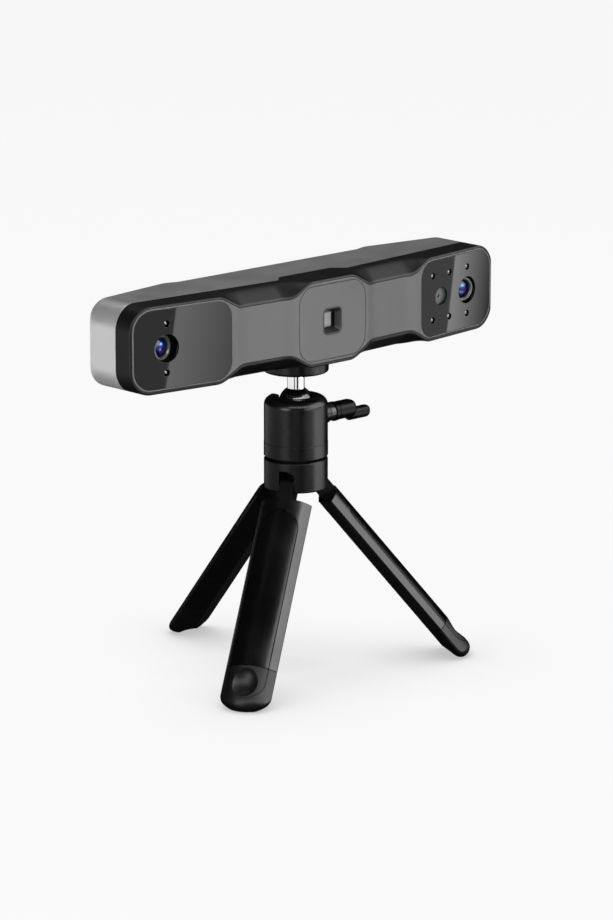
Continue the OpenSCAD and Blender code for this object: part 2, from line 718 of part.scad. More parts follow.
// Ball, stem and platform
stem_seat = 4;
spigot_r = 4;
stud_r = stud_d / 2;
module ball() {
  color("#141415") difference() {
    translate([0, 0, ball_z]) sphere(ball_r);
    translate([0, 0, ball_z + stem_seat]) cylinder(d = stem_d + 2 * seat, h = ball_d);
  }
}
module ball_stem() {
  color("#d9dadb") {
    translate([0, 0, ball_z + stem_seat]) cylinder(d = stem_d, h = stem_l - stem_seat);
    translate([0, 0, platform_z - eps]) cylinder(r = spigot_r, h = platform_t + eps);
    translate([0, 0, pad_z - eps]) cylinder(r = stud_r, h = pad_t + stud_l + eps);
  }
}
module platform() {
  edge_r = 1.5;
  r = platform_d / 2;
  color("#1d1e1f") translate([0, 0, platform_z]) rotate_extrude() difference() {
    union() {
      translate([0, edge_r]) square([r, platform_t - edge_r]);
      square([r - edge_r, edge_r]);
      translate([r - edge_r, edge_r]) circle(edge_r);
    }
    translate([-1, -1]) square([spigot_r + seat + 1, platform_t + 2]);
  }
}
module platform_pad() {
  color("#101011") translate([0, 0, pad_z]) difference() {
    cylinder(d = platform_d - 1.2, h = pad_t);
    translate([0, 0, -1]) cylinder(r = spigot_r + 0.2, h = pad_t + 2);
  }
}

// Ball head
socket_r = ball_r + ball_gap;
lip_z = 3.3;
lip_bevel = 0.9;
lip_r = sqrt(socket_r * socket_r - lip_z * lip_z);
crest_r = head_r - shoulder_r;
notch_w = stem_d + 1.6;
lock_boss_r = 6.2;
lock_boss_x = knob_x - 5;
seat_bottom = lock_z - lock_d / 2 - 2.5;
module head_profile() {
  union() {
    square([head_r, housing_h - shoulder_r]);
    square([crest_r, housing_h]);
    translate([crest_r, housing_h - shoulder_r]) circle(shoulder_r);
  }
}
module head_housing() {
  ball_up = ball_z - housing_z;
  color("#1a1b1c") difference() {
    union() {
      translate([0, 0, housing_z]) rotate_extrude() head_profile();
      translate([head_r - 4, 0, lock_z]) rotate([0, 90, 0]) cylinder(r = lock_boss_r, h = lock_boss_x - head_r + 4);
    }
    translate([0, 0, ball_z]) sphere(socket_r);
    translate([0, 0, seat_bottom]) cylinder(r = socket_r, h = ball_z - seat_bottom);
    translate([0, 0, ball_z + lip_z - eps])
      cylinder(r1 = lip_r, r2 = lip_r + lip_bevel, h = ball_drop - lip_z + 2 * eps);
    translate([0, 0, ball_z]) rotate([-90, 0, 0]) cylinder(d = notch_w, h = head_d);
    translate([-notch_w / 2, 0, ball_z]) cube([notch_w, head_d, housing_h]);
    translate([0, 0, lock_z]) rotate([0, 90, 0]) cylinder(r = lock_d / 2 + run, h = head_d);
  }
}
pan_r = 3;
pan_head_r = 6;
pan_head_t = 3.5;
module head_base() {
  color("#1a1b1c") translate([0, 0, base_z]) difference() {
    cylinder(r = head_r + 0.1, h = base_h);
    translate([0, 0, -1]) cylinder(r = pan_r + run, h = base_h + 2);
    translate([0, 0, base_h - pan_head_t - 0.3]) cylinder(r = pan_head_r + 0.4, h = base_h);
  }
}
module ball_seat() {
  seat_r = socket_r - 0.1;
  seat_top = ball_z - 3;
  color("#c9c7bd") difference() {
    translate([0, 0, seat_bottom]) cylinder(r = seat_r, h = seat_top - seat_bottom);
    translate([0, 0, ball_z]) sphere(socket_r);
    translate([0, 0, ball_z]) rotate([-90, 0, 0]) cylinder(d = notch_w, h = head_d);
    translate([0, 0, lock_z]) rotate([0, 90, 0]) cylinder(r = lock_d / 2 + 0.3, h = head_d);
  }
}
lock_tip_x = sqrt(pow(socket_r + 0.1, 2) - pow(lock_drop - lock_d / 2, 2));
lock_end_x = knob_x + knob_l - 4;
module lock_screw() {
  sleeve_r = knob_d / 2 - 0.2;
  color("#a7a9ac") translate([0, 0, lock_z]) rotate([0, 90, 0]) {
    translate([0, 0, lock_tip_x]) cylinder(r = lock_d / 2, h = lock_end_x - lock_tip_x);
    translate([0, 0, lock_boss_x + 1.2]) cylinder(r = sleeve_r, h = knob_x - lock_boss_x - 1.4);
  }
}
module lock_knob() {
  collar_l = 3.3;
  wing_t = 6.4;
  end_r = wing_h / 2;
  neck_l = 3.5;
  color("#141415") translate([knob_x, 0, lock_z]) rotate([0, 90, 0]) difference() {
    union() {
      cylinder(d = knob_d + 0.6, h = collar_l);
      cylinder(d = knob_d, h = knob_l);
      hull() {
        translate([0, 0, knob_l - 3]) cylinder(d = wing_t, h = 3, $fn = 32);
        translate([end_r, 0, knob_l + neck_l]) rotate([90, 0, 0]) cylinder(r = end_r, h = wing_t, center = true, $fn = 32);
      }
      translate([end_r, 0, knob_l + wing_l - end_r]) rotate([90, 0, 0]) cylinder(r = end_r, h = wing_t, center = true);
      translate([0, -wing_t / 2, knob_l + neck_l]) cube([wing_h, wing_t, wing_l - end_r - neck_l]);
    }
    translate([0, 0, -1]) cylinder(r = lock_d / 2 + run, h = lock_end_x - knob_x + 1.2);
  }
}
pan_screw_z = hub_z + 4;
module pan_screw() {
  color("#a7a9ac") {
    translate([0, 0, pan_screw_z]) cylinder(r = pan_r, h = base_z + base_h - pan_head_t - pan_screw_z);
    translate([0, 0, base_z + base_h - pan_head_t - eps]) cylinder(r = pan_head_r, h = pan_head_t - 0.3);
  }
}
module pan_washer() {
  color("#2c2c2c") translate([0, 0, hub_z + hub_h]) difference() {
    cylinder(r = head_r - 4, h = pan_gap - 0.1);
    translate([0, 0, -1]) cylinder(r = pan_r + 0.2, h = pan_gap + 2);
  }
}

// Tripod hub and legs
slot_w = tongue_w + 0.6;
slot_in = pivot_r - tongue_r - 0.5;
slot_up = tongue_r + 4.5;
pin_l = 2 * (sqrt(head_r * head_r - pow(pivot_r + pin_d / 2, 2)) - 1);
module at_legs() { for (a = LEG_ANGLES) rotate([0, 0, a]) children(); }
module pin_axis(r, l) { translate([pivot_r, 0, pivot_z]) rotate([90, 0, 0]) cylinder(r = r, h = l, center = true); }
module hub() {
  bevel = 0.8;
  color("#1a1b1c") difference() {
    translate([0, 0, hub_z]) rotate_extrude() difference() {
      square([head_r, hub_h]);
      translate([head_r, hub_h]) rotate(45) square(bevel * sqrt(2), center = true);
      translate([head_r, 0]) rotate(45) square(bevel * sqrt(2), center = true);
    }
    translate([0, 0, pan_screw_z]) cylinder(r = pan_r + seat, h = hub_h);
    at_legs() {
      translate([slot_in, -slot_w / 2, hub_z - 1]) cube([head_d, slot_w, pivot_up + slot_up + 1]);
      pin_axis(pin_d / 2 + seat, pin_l + 0.4);
    }
  }
}
module hinge_pins() { color("#c4c6c8") at_legs() pin_axis(pin_d / 2, pin_l); }

// A leg is drawn closed against the grip, its pivot at height 0, and then swung out to its open stop
foot_z = -leg_l + foot_l;
inlay_top = -shoulder_l - 7.5;
inlay_end = -leg_l + 7.4;
module open_leg(a) {
  rotate([0, 0, a]) translate([pivot_r, 0, pivot_z]) rotate([0, -splay, 0]) translate([-pivot_r, 0, 0]) children();
}
module leg_section() {
  edge_r = sqrt(head_r * head_r - leg_half_w * leg_half_w);
  intersection() {
    circle(head_r);
    polygon([[ridge_r, 0], [edge_r - 1, leg_half_w], [head_d, leg_half_w],
      [head_d, -leg_half_w], [edge_r - 1, -leg_half_w]]);
  }
}
module leg_length(z0, z1) { translate([0, 0, z0]) linear_extrude(z1 - z0) leg_section(); }
// The long panel outline, standing on the leg's outer side and pushed through it
module inlay_prism(half_w, top, bottom) {
  rotate([90, 0, 90]) linear_extrude(head_d) {
    translate([0, top - half_w]) circle(half_w);
    translate([0, bottom + half_w]) circle(half_w);
    translate([-half_w, bottom + half_w]) square([2 * half_w, top - bottom - 2 * half_w]);
  }
}
module outer_skin(t, z0, z1) {
  difference() {
    translate([0, 0, z0]) cylinder(r = head_r + 2, h = z1 - z0);
    translate([0, 0, z0 - 1]) cylinder(r = head_r - t, h = z1 - z0 + 2);
  }
}
module leg_body() {
  difference() {
    union() {
      leg_length(foot_z, -shoulder_l);
      translate([pivot_r, 0, 0]) rotate([90, 0, 0]) cylinder(r = tongue_r, h = tongue_w, center = true);
      translate([pivot_r - tongue_r, -tongue_w / 2, -shoulder_l - eps]) cube([2 * tongue_r, tongue_w, shoulder_l]);
    }
    translate([pivot_r, 0, 0]) rotate([90, 0, 0]) cylinder(r = pin_d / 2 + run, h = 2 * tongue_w, center = true);
    intersection() {
      outer_skin(inlay_t + seat, foot_z - 1, 0);
      inlay_prism(inlay_half_w + inlay_gap, inlay_top + inlay_gap, inlay_end - inlay_gap);
    }
  }
}
module leg_inlay() {
  intersection() {
    difference() {
      translate([0, 0, foot_z]) cylinder(r = head_r, h = leg_l);
      translate([0, 0, foot_z - 1]) cylinder(r = head_r - inlay_t, h = leg_l + 2);
    }
    inlay_prism(inlay_half_w, inlay_top, inlay_end);
  }
}
// A foot seen from the side: round toe, sloping underside, straight back
module foot_side() {
  translate([toe_c, 0, toe_r - leg_l]) {
    rotate([90, 0, 0]) cylinder(r = toe_r, h = 2 * head_d, center = true);
    rotate([0, -toe_slope, 0]) translate([0.05 - toe_r, -head_d, 0]) cube([head_d, 2 * head_d, leg_l]);
    translate([-1, -head_d, 0]) cube([head_d, 2 * head_d, leg_l]);
  }
}
// A foot seen from the front: its lower end is a shallow arc
module foot_front() {
  wide = leg_half_w + 1;
  translate([0, 0, toe_round - sole_cut - leg_l]) rotate([0, 90, 0]) cylinder(r = toe_round, h = head_d);
  translate([0, -wide, 0.6 * toe_round - leg_l]) cube([head_d, 2 * wide, leg_l]);
}
module foot_body() {
  dimple_z = inlay_end + dimple_r + 0.6;
  neck_x0 = ridge_r + 2.5;
  neck_x1 = head_r - 3;
  neck_w = 14;
  dish_r = (dimple_r * dimple_r + dimple_d * dimple_d) / (2 * dimple_d);
  difference() {
    union() {
      intersection() {
        leg_length(-leg_l, foot_z - foot_gap);
        foot_side();
        foot_front();
      }
      translate([neck_x0, -neck_w / 2, foot_z - 2]) cube([neck_x1 - neck_x0, neck_w, 2]);
    }
    translate([head_r - dimple_d + dish_r, 0, dimple_z]) sphere(dish_r);
    intersection() {
      outer_skin(inlay_gap, -leg_l, foot_z + 1);
      difference() {
        inlay_prism(inlay_half_w + inlay_gap, inlay_top + inlay_gap, inlay_end - inlay_gap);
        inlay_prism(inlay_half_w, inlay_top, inlay_end);
      }
    }
  }
}
module leg(a) { color("#18191a") open_leg(a) leg_body(); }
module inlay(a) { color("#0f0f10") open_leg(a) leg_inlay(); }
module foot(a) {
  color("#131314") difference() {
    open_leg(a) foot_body();
    translate([0, 0, -leg_l]) cylinder(r = 2 * leg_l, h = leg_l);
  }
}
module left_leg() { leg(LEG_ANGLES[0]); }
module left_inlay() { inlay(LEG_ANGLES[0]); }
module left_foot() { foot(LEG_ANGLES[0]); }
module right_leg() { leg(LEG_ANGLES[1]); }
module right_inlay() { inlay(LEG_ANGLES[1]); }
module right_foot() { foot(LEG_ANGLES[1]); }
module rear_leg() { leg(LEG_ANGLES[2]); }
module rear_inlay() { inlay(LEG_ANGLES[2]); }
module rear_foot() { foot(LEG_ANGLES[2]); }

rear_housing();
front_bezel();
face_plate();
left_window();
right_window();
centre_plate();
projector_frame();
projector_window();
projector_emitter();
projector_module();
left_camera_barrel();
left_camera_lens();
right_camera_barrel();
right_camera_lens();
colour_camera_barrel();
colour_camera_lens();
infrared_lamps();
fill_lamps();
optical_frame();
main_board();
left_camera_board();
right_camera_board();
key_board();
usb_port();
status_light();
tripod_insert();
housing_screws();
scan_button();
plus_key();
minus_key();
ball();
ball_stem();
platform();
platform_pad();
head_housing();
head_base();
ball_seat();
lock_screw();
lock_knob();
pan_screw();
pan_washer();
hub();
hinge_pins();
left_leg();
left_inlay();
left_foot();
right_leg();
right_inlay();
right_foot();
rear_leg();
rear_inlay();
rear_foot();
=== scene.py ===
import math

import bpy
import bmesh
from mathutils import Matrix, Vector


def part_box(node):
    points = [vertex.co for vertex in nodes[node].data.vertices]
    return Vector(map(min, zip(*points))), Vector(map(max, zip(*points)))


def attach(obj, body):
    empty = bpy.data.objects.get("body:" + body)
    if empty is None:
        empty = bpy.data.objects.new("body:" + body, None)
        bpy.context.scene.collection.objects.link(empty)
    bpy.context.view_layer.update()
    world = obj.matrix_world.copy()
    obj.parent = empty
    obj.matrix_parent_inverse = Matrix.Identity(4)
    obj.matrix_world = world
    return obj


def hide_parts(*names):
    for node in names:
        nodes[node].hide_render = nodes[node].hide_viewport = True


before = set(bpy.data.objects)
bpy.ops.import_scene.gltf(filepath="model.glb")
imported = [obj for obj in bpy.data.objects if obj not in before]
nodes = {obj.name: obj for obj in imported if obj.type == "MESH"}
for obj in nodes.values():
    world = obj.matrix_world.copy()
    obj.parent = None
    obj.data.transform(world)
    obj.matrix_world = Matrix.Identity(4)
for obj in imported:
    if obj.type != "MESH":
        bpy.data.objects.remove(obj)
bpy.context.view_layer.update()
TO_MM, TO_METRES = 1000.0, 0.001


def mid_height(box):
    """Height of a box's middle in millimetres, from its two corners in metres."""
    low, high = box
    return (low[2] + high[2]) / 2 * TO_MM


# Sizes repeated from part.scad, in millimetres; the bar's own frame has its origin at the middle of the face.
BAR_L, BAR_H, CORNER_R, WALL = 295.0, 52.0, 14.5, 2.4
FRONT_REACH, WAIST_REACH, WAIST_SWEEP, WAIST_RUN = 31.6, 28.7, 0.061, 12.0
BLOCK_REACH, BLOCK_SWEEP, BLOCK_L = 28.4, 0.133, 70.1
REAR_DEPTH, SHOULDER_STEP, SHOULDER_RUN, REAR_SWEEP = 26.8, 2.5, 12.0, 0.155
REAR_EDGE_R, REAR_CORNER_R = 5.0, 6.0
SEAM_REACH, SEAM_SWEEP, SEAM_TUCK = 17.0, 0.09, 2.4
TONGUE_REACH, TONGUE_X, TONGUE_END_X = 7.8, 20.0, 29.0
RIM, END_RIM, FACE_UP, SCOOP_D, SCOOP_H = 1.75, 1.45, 0.3, 9.5, 7.55
CROWN_X, NECK_X = 15.0, 34.0
FACE_T, FACE_R, FACE_BEVEL, LEDGE, FIT = 2.6, 13.2, 0.5, 2.5, 0.15
WINDOW_T, WINDOW_RIM, WINDOW_R = 1.2, 1.1, 10.0
CENTRE_W, CENTRE_R, CENTRE_RIM, CENTRE_T = 53.4, 11.0, 1.9, 1.4
FRAME_W, FRAME_H, FRAME_R = 15.2, 16.2, 3.4
CAM_HOLE_D, COLOUR_GAP, COLOUR_HOLE_D, LAMP_HOLE_D = 16.6, 25.6, 11.4, 4.0
LAMP_Z, FILL_Z, LAMP_X, CAM_INSET = 14.4, 13.6, 8.1, 25.0
BUTTON_D, KEY_D, KEY_X, KEY_GAP = 14.0, 8.0, 18.0, 0.35
USB_X, USB_W, USB_H = 44.0, 9.4, 3.6
SCREW_Z, SCREW_HEAD_R, SCREW_GAP = 13.0, 2.9, 0.3
LIGHT_R, LIGHT_UP, INSERT_R = 1.5, 5.0, 5.0
HALF_L = BAR_L / 2
WINDOW_X = HALF_L - BLOCK_L
NECK_OUT_X, SHOULDER_X = WINDOW_X - 9.4, WINDOW_X - 5.4
BLOCK_X, BLOCK_TOP_X = WINDOW_X - 1.4, WINDOW_X + 9.6
CENTRE_X = CENTRE_W / 2
CAM_X = HALF_L - CAM_INSET
COLOUR_X = CAM_X - COLOUR_GAP
FACE_END = HALF_L - END_RIM
PILLAR_X = (NECK_X + NECK_OUT_X) / 2
BAR_LOW = -BAR_H / 2 - FACE_UP
BAR_Z = mid_height(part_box("centre_plate"))
# Set here: the shells' gap to the platform pad, the groove round the centre plate, and the cutters' overlaps.
OFF_PAD, GROOVE = 0.03, 0.4
PAST, PAST_SEAM, PAST_BLOCK, OVERLAP, SKIN_GAP = 3.0, 2.0, 4.0, 1.0, 0.02


# Outline of the bar, as functions of the distance x from its middle.
def smooth(t):
    c = min(max(t, 0.0), 1.0)
    return c * c * (3 - 2 * c)


def ramp(x, x0, x1, a, b):
    return a + (b - a) * smooth((x - x0) / (x1 - x0))


def arc_drop(x, x_end, r):
    """How far an edge that rounds off at x_end with the radius r has come down at x."""
    if x <= x_end - r:
        return 0.0
    return r - math.sqrt(max(0.0, r * r - (min(x, x_end) - (x_end - r)) ** 2))


def waist_front(x):
    return -WAIST_REACH + WAIST_SWEEP * (x - NECK_X)


def block_front(x):
    return -BLOCK_REACH + BLOCK_SWEEP * (x - BLOCK_X)


def front_y(x):
    if x < PILLAR_X:
        return ramp(x, CENTRE_X, CENTRE_X + WAIST_RUN, -FRONT_REACH, waist_front(x))
    return ramp(x, BLOCK_X - WAIST_RUN, BLOCK_X, waist_front(x), block_front(x))


def scoop(x):
    """How far the bezel's edge lies below its top: full in the waists, none at the crown and the blocks."""
    if x < PILLAR_X:
        return SCOOP_H * smooth((x - CROWN_X) / (NECK_X - CROWN_X))
    return SCOOP_H * (1 - smooth((x - NECK_OUT_X) / (BLOCK_TOP_X - NECK_OUT_X)))


def half_h(x):
    return BAR_H / 2 - OFF_PAD - arc_drop(x, HALF_L, CORNER_R)


def face_half(x, grow=0.0):
    return BAR_H / 2 - RIM + grow - scoop(x) - arc_drop(x, FACE_END + grow, FACE_R + grow)


def seam_y(x):
    seam = ramp(x, TONGUE_X, TONGUE_END_X, -TONGUE_REACH, -SEAM_REACH + SEAM_SWEEP * x)
    return seam - SEAM_TUCK * smooth((x - HALF_L + CORNER_R) / CORNER_R)


def rear_y(x):
    out = REAR_DEPTH + SHOULDER_STEP - REAR_SWEEP * (x - SHOULDER_X - SHOULDER_RUN)
    rear = ramp(x, SHOULDER_X, SHOULDER_X + SHOULDER_RUN, REAR_DEPTH, out)
    return rear - arc_drop(x, HALF_L, REAR_CORNER_R)


# Mesh building, in millimetres.
def stations(x_end, r, step=1.25, turn=3.0):
    """Places along the bar: even steps in millimetres up to the rounded ends, turns in degrees round them."""
    n = max(2, round((x_end - r) / step))
    half = [(x_end - r) * i / n for i in range(n)]
    m = round(90 / turn)
    half += [x_end - r + r * math.sin(math.radians(90.0 * i / m)) for i in range(m + 1)]
    return [-x for x in reversed(half[1:])] + half


def arc(cy, cz, r, a0, a1, n):
    turns = [math.radians(a0 + (a1 - a0) * i / n) for i in range(n + 1)]
    return [(cy + r * math.cos(t), cz + r * math.sin(t)) for t in turns]


def mirrored(half):
    return half + [(a, -b) for a, b in reversed(half)]


def slab(y0, y1, h):
    return [(y0, -h), (y1, -h), (y1, h), (y0, h)]


def mesh_from(bm, name):
    bmesh.ops.recalc_face_normals(bm, faces=bm.faces)
    me = bpy.data.meshes.new(name)
    bm.to_mesh(me)
    bm.free()
    ob = bpy.data.objects.new(name, me)
    bpy.context.scene.collection.objects.link(ob)
    return ob


def loft(name, rings):
    """A closed skin through rings of equally many points, capped at both ends."""
    bm = bmesh.new()
    grid = [[bm.verts.new(p) for p in ring] for ring in rings]
    n = len(grid[0])
    for a, b in zip(grid, grid[1:]):
        for j in range(n):
            k = (j + 1) % n
            bm.faces.new((a[j], b[j], b[k], a[k]))
    bm.faces.new(grid[0])
    bm.faces.new(list(reversed(grid[-1])))
    return mesh_from(bm, name)


def section_loft(name, xs, outline, up=0.0):
    """A loft along the bar, through the outline that a function gives for each distance from the middle."""
    return loft(name, [[(x, y, z + up) for y, z in outline(abs(x))] for x in xs])


def prism(name, outline, y0, y1, place=None):
    """A prism whose outline lies in the XZ plane and which runs along Y."""
    bm = bmesh.new()
    a = [bm.verts.new((x, y0, z)) for x, z in outline]
    b = [bm.verts.new((x, y1, z)) for x, z in outline]
    n = len(a)
    for j in range(n):
        k = (j + 1) % n
        bm.faces.new((a[j], a[k], b[k], b[j]))
    bm.faces.new(list(reversed(a)))
    bm.faces.new(b)
    if place is not None:
        bm.transform(place)
    return mesh_from(bm, name)


def rod(name, r, length, place, n):
    bm = bmesh.new()
    bmesh.ops.create_cone(bm, cap_ends=True, segments=n, radius1=r, radius2=r, depth=length)
    bm.transform(place)
    return mesh_from(bm, name)


def disc(x, z, r, n):
    turns = [2 * math.pi * i / n for i in range(n)]
    return [(x + r * math.cos(t), z + r * math.sin(t)) for t in turns]


def rounded(x0, x1, z0, z1, radii, n=20):
    """A rounded rectangle; radii are for the corners low left, low right, high right, high left."""
    out = []
    spots = [(x0, z0, 1, 1, 180), (x1, z0, -1, 1, 270), (x1, z1, -1, -1, 0), (x0, z1, 1, -1, 90)]
    for (cx, cz, sx, sz, a0), r in zip(spots, radii):
        out += arc(cx + sx * r, cz + sz * r, r, a0, a0 + 90, n)
    return out


def apply_modifiers(ob):
    dg = bpy.context.evaluated_depsgraph_get()
    me = bpy.data.meshes.new_from_object(ob.evaluated_get(dg))
    ob.modifiers.clear()
    old = ob.data
    ob.data = me
    bpy.data.meshes.remove(old)


def cut(ob, cutters):
    for c in cutters:
        m = ob.modifiers.new("cut", "BOOLEAN")
        m.operation = "DIFFERENCE"
        m.solver = "EXACT"
        m.object = c
    apply_modifiers(ob)
    for c in cutters:
        bpy.data.objects.remove(c)
    return ob


SHARP_ANGLE, FLAT_WEIGHT = 32.0, 80


def shade(ob):
    """Smooth shading in which the flats stay flat and the hard edges stay hard."""
    me = ob.data
    me.polygons.foreach_set("use_smooth", [True] * len(me.polygons))
    me.set_sharp_from_angle(angle=math.radians(SHARP_ANGLE))
    m = ob.modifiers.new("normals", "WEIGHTED_NORMAL")
    m.mode = "FACE_AREA"
    m.weight = FLAT_WEIGHT
    m.keep_sharp = True
    apply_modifiers(ob)


def to_frame(ob):
    """From the bar's own millimetres to the shared frame in metres."""
    ob.data.transform(Matrix.Scale(TO_METRES, 4) @ Matrix.Translation((0, 0, BAR_Z)))
    ob.data.update()
    return ob


# Rear housing: a drawn shell with rounded rear edges and a fine bevel at its seam.
LIP, LIP_D, EDGE_STEPS = 0.3, 0.18, 10
INSERT_CUT = 8.0


def rear_outline(x):
    h, y, s, r = half_h(x), rear_y(x), seam_y(x), REAR_EDGE_R
    return mirrored([(s, -h + LIP_D), (s + LIP, -h)] + arc(y - r, -h + r, r, -90, 0, EDGE_STEPS))


def rear_cavity(x):
    return slab(seam_y(x) - PAST_SEAM, rear_y(x) - WALL, half_h(x) - WALL)


def hole(x, z, r, y0, y1, n=72):
    return prism("hole", disc(x, z, r, n), y0, y1)


def build_rear():
    ob = section_loft("rear_shell", stations(HALF_L, CORNER_R), rear_outline, -FACE_UP)
    inner = stations(HALF_L - WALL, CORNER_R - WALL, step=6.0, turn=10.0)
    cuts = [section_loft("cavity", inner, rear_cavity, -FACE_UP)]
    y0, y1 = REAR_DEPTH - WALL - OVERLAP, REAR_DEPTH + OVERLAP
    for x in (-1, 1):
        for z in (-1, 1):
            cuts.append(hole(x * PILLAR_X, z * SCREW_Z, SCREW_HEAD_R + SCREW_GAP, y0, y1))
        cuts.append(hole(x * KEY_X, 0, KEY_D / 2 + KEY_GAP, y0, y1))
    cuts.append(hole(0, 0, BUTTON_D / 2 + KEY_GAP, y0, y1, n=96))
    cuts.append(hole(0, BUTTON_D / 2 + LIGHT_UP, LIGHT_R + SKIN_GAP, y0, y1, n=48))
    u, v = USB_W / 2, USB_H / 2
    cuts.append(prism("slot", rounded(USB_X - u, USB_X + u, -v, v, [v] * 4), y0, y1))
    below = Matrix.Translation((0, 0, BAR_LOW))
    cuts.append(rod("insert_hole", INSERT_R + SKIN_GAP, INSERT_CUT, below, n=72))
    return cut(ob, cuts)


# Front bezel: a soft shoulder rolls from the face plate's edge up to the level top in the waists.
ROUND, ROUND_STEPS = 1.2, 6
ROLL, ROLL_SPREAD, ROLL_STEPS = 1.2, 1.05, 14


def roll(t):
    """The shoulder's height, 0 to 1: it leaves the edge at the slope ROLL and ends level."""
    return (t ** 3 - 2 * t ** 2 + t) * ROLL + 3 * t * t - 2 * t ** 3


def bezel_outline(x):
    h, s, rise = half_h(x), seam_y(x), scoop(x)
    edge = h - rise
    f = front_y(x) + arc_drop(x, HALF_L, END_RIM)
    slope = ROLL / ROLL_SPREAD * rise / SCOOP_D
    k = ROUND / math.hypot(1, slope)
    y1, z1 = f + k, edge + k * slope
    top = []
    for i in range(ROUND_STEPS + 1):
        t = i / ROUND_STEPS
        a, b, c = (1 - t) ** 2, 2 * t * (1 - t), t * t
        top.append((a * f + b * f + c * y1, a * (edge - ROUND) + b * edge + c * z1))
    first = k / SCOOP_D / ROLL_SPREAD
    for i in range(1, ROLL_STEPS + 1):
        t = first + (1 - first) * i / ROLL_STEPS
        g = (roll(t) - roll(first)) / (1 - roll(first))
        top.append((f + SCOOP_D * ROLL_SPREAD * t, z1 + (h - z1) * g))
    return mirrored(top + [(s - LIP, h), (s, h - LIP_D)])


def pocket_outline(x):
    y = front_y(x)
    return slab(y - PAST, y + FACE_T, face_half(x, FIT))


def opening_outline(x):
    return slab(front_y(x) + FACE_T - OVERLAP, seam_y(x) + PAST_SEAM, face_half(x, -LEDGE))


def build_bezel():
    ob = section_loft("bezel_shell", stations(HALF_L, CORNER_R), bezel_outline, -FACE_UP)
    inner = stations(FACE_END - LEDGE, FACE_R - LEDGE, step=2.5, turn=6.0)
    return cut(ob, [
        section_loft("pocket", stations(FACE_END + FIT, FACE_R + FIT), pocket_outline),
        section_loft("opening", inner, opening_outline)])


# Face plate: follows the bezel's front, with recesses for the windows and the centre plate.
BEVEL_STEPS = 5
BLOCK_ANGLE = math.atan(BLOCK_SWEEP)
WINDOW_L = (FACE_END - WINDOW_RIM - WINDOW_X) / math.cos(BLOCK_ANGLE)
WINDOW_H = BAR_H - 2 * RIM - 2 * WINDOW_RIM
CENTRE_H = BAR_H - 2 * RIM - 2 * CENTRE_RIM
SIGHT_GAP, SIGHT_Y0, SIGHT_Y1, THROAT_D = 1.0, -40.0, -5.0, 6.0


def face_outline(x):
    y, h, b = front_y(x), face_half(x), FACE_BEVEL
    turns = [math.radians(90 - 90 * i / BEVEL_STEPS) for i in range(BEVEL_STEPS + 1)]
    top = [(y + b - b * math.sin(t), h - b + b * math.cos(t)) for t in turns]
    return mirrored(top + [(y + FACE_T, h)])


def on_block(side):
    """Place of a window's inner edge on the left or right block, turned with the block's front."""
    m = Matrix.Translation((WINDOW_X, block_front(WINDOW_X), 0)) @ Matrix.Rotation(BLOCK_ANGLE, 4, "Z")
    return Matrix.Scale(-1, 4, (1, 0, 0)) @ m if side < 0 else m


def window_outline(grow):
    ri, re = WINDOW_R + grow, FACE_R - WINDOW_RIM + grow
    return rounded(-grow, WINDOW_L + grow, -WINDOW_H / 2 - grow, WINDOW_H / 2 + grow, [ri, re, re, ri])


def optic_holes(side):
    out = [(side * CAM_X, 0, CAM_HOLE_D / 2)]
    out += [(side * CAM_X, z * LAMP_Z, LAMP_HOLE_D / 2) for z in (-1, 1)]
    if side > 0:
        out.append((COLOUR_X, 0, COLOUR_HOLE_D / 2))
        out += [(COLOUR_X + x * LAMP_X, z * FILL_Z, LAMP_HOLE_D / 2) for x in (-1, 1) for z in (-1, 1)]
    return out


def well(name, w, h, r, grow, depth, n=20):
    """A cutter for a rounded recess in the middle of the front."""
    u, v = w / 2 + grow, h / 2 + grow
    return prism(name, rounded(-u, u, -v, v, [r + grow] * 4, n), -FRONT_REACH - PAST, -FRONT_REACH + depth)


def build_face():
    ob = section_loft("face_shell", stations(FACE_END, FACE_R), face_outline)
    cuts = []
    for side in (-1, 1):
        cuts.append(prism("recess", window_outline(FIT), -PAST_BLOCK, WINDOW_T, on_block(side)))
        cuts += [hole(x, z, r + SIGHT_GAP, SIGHT_Y0, SIGHT_Y1) for x, z, r in optic_holes(side)]
    cuts.append(well("seat", CENTRE_W, CENTRE_H, CENTRE_R, GROOVE, CENTRE_T))
    cuts.append(well("throat", FRAME_W, FRAME_H, FRAME_R, FIT, THROAT_D, n=10))
    return cut(ob, cuts)


# Feet: the leg's section drawn on into a toe that is rounded in both directions, with a dished thumb rest.
HEAD_R, PIVOT_R, LEG_L, SPLAY, HUB_TURN = 19.2, 13.2, 147.5, 39.1, -0.9
LEG_HALF_W, RIDGE_R, EDGE_T, FOOT_L, FOOT_GAP = 15.6, 5.3, 1.0, 28.5, 0.5
TOE_R, TOE_ROUND, TOE_SLOPE, TOE_END, TOE_SIDE_R = 5.2, 19.8, 21.0, 146.9, 2.4
INLAY_HALF_W, INLAY_GAP, INLAY_END = 11.4, 0.5, -140.1
DIMPLE_R, DIMPLE_D, DIMPLE_UP = 9.2, 4.5, 0.6
GROOVE_RUN, GROOVE_STEPS, GROOVE_LIFT, GROOVE_D = 12, 48, 0.6, 0.5
NECK_IN, NECK_OUT, NECK_W, NECK_H = 2.5, 3.0, 14.0, 2.0
FOOT_SLICES, SIDE_STEPS, TOE_STEPS, SLOPE_STEPS, RIDGE_STEPS = 64, 12, 24, 8, 4
EDGE_R = math.sqrt(HEAD_R ** 2 - LEG_HALF_W ** 2)
PIVOT_Z = mid_height(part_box("hinge_pins"))
LEGS = {"left": HUB_TURN - 150, "right": HUB_TURN - 30, "rear": HUB_TURN + 90}


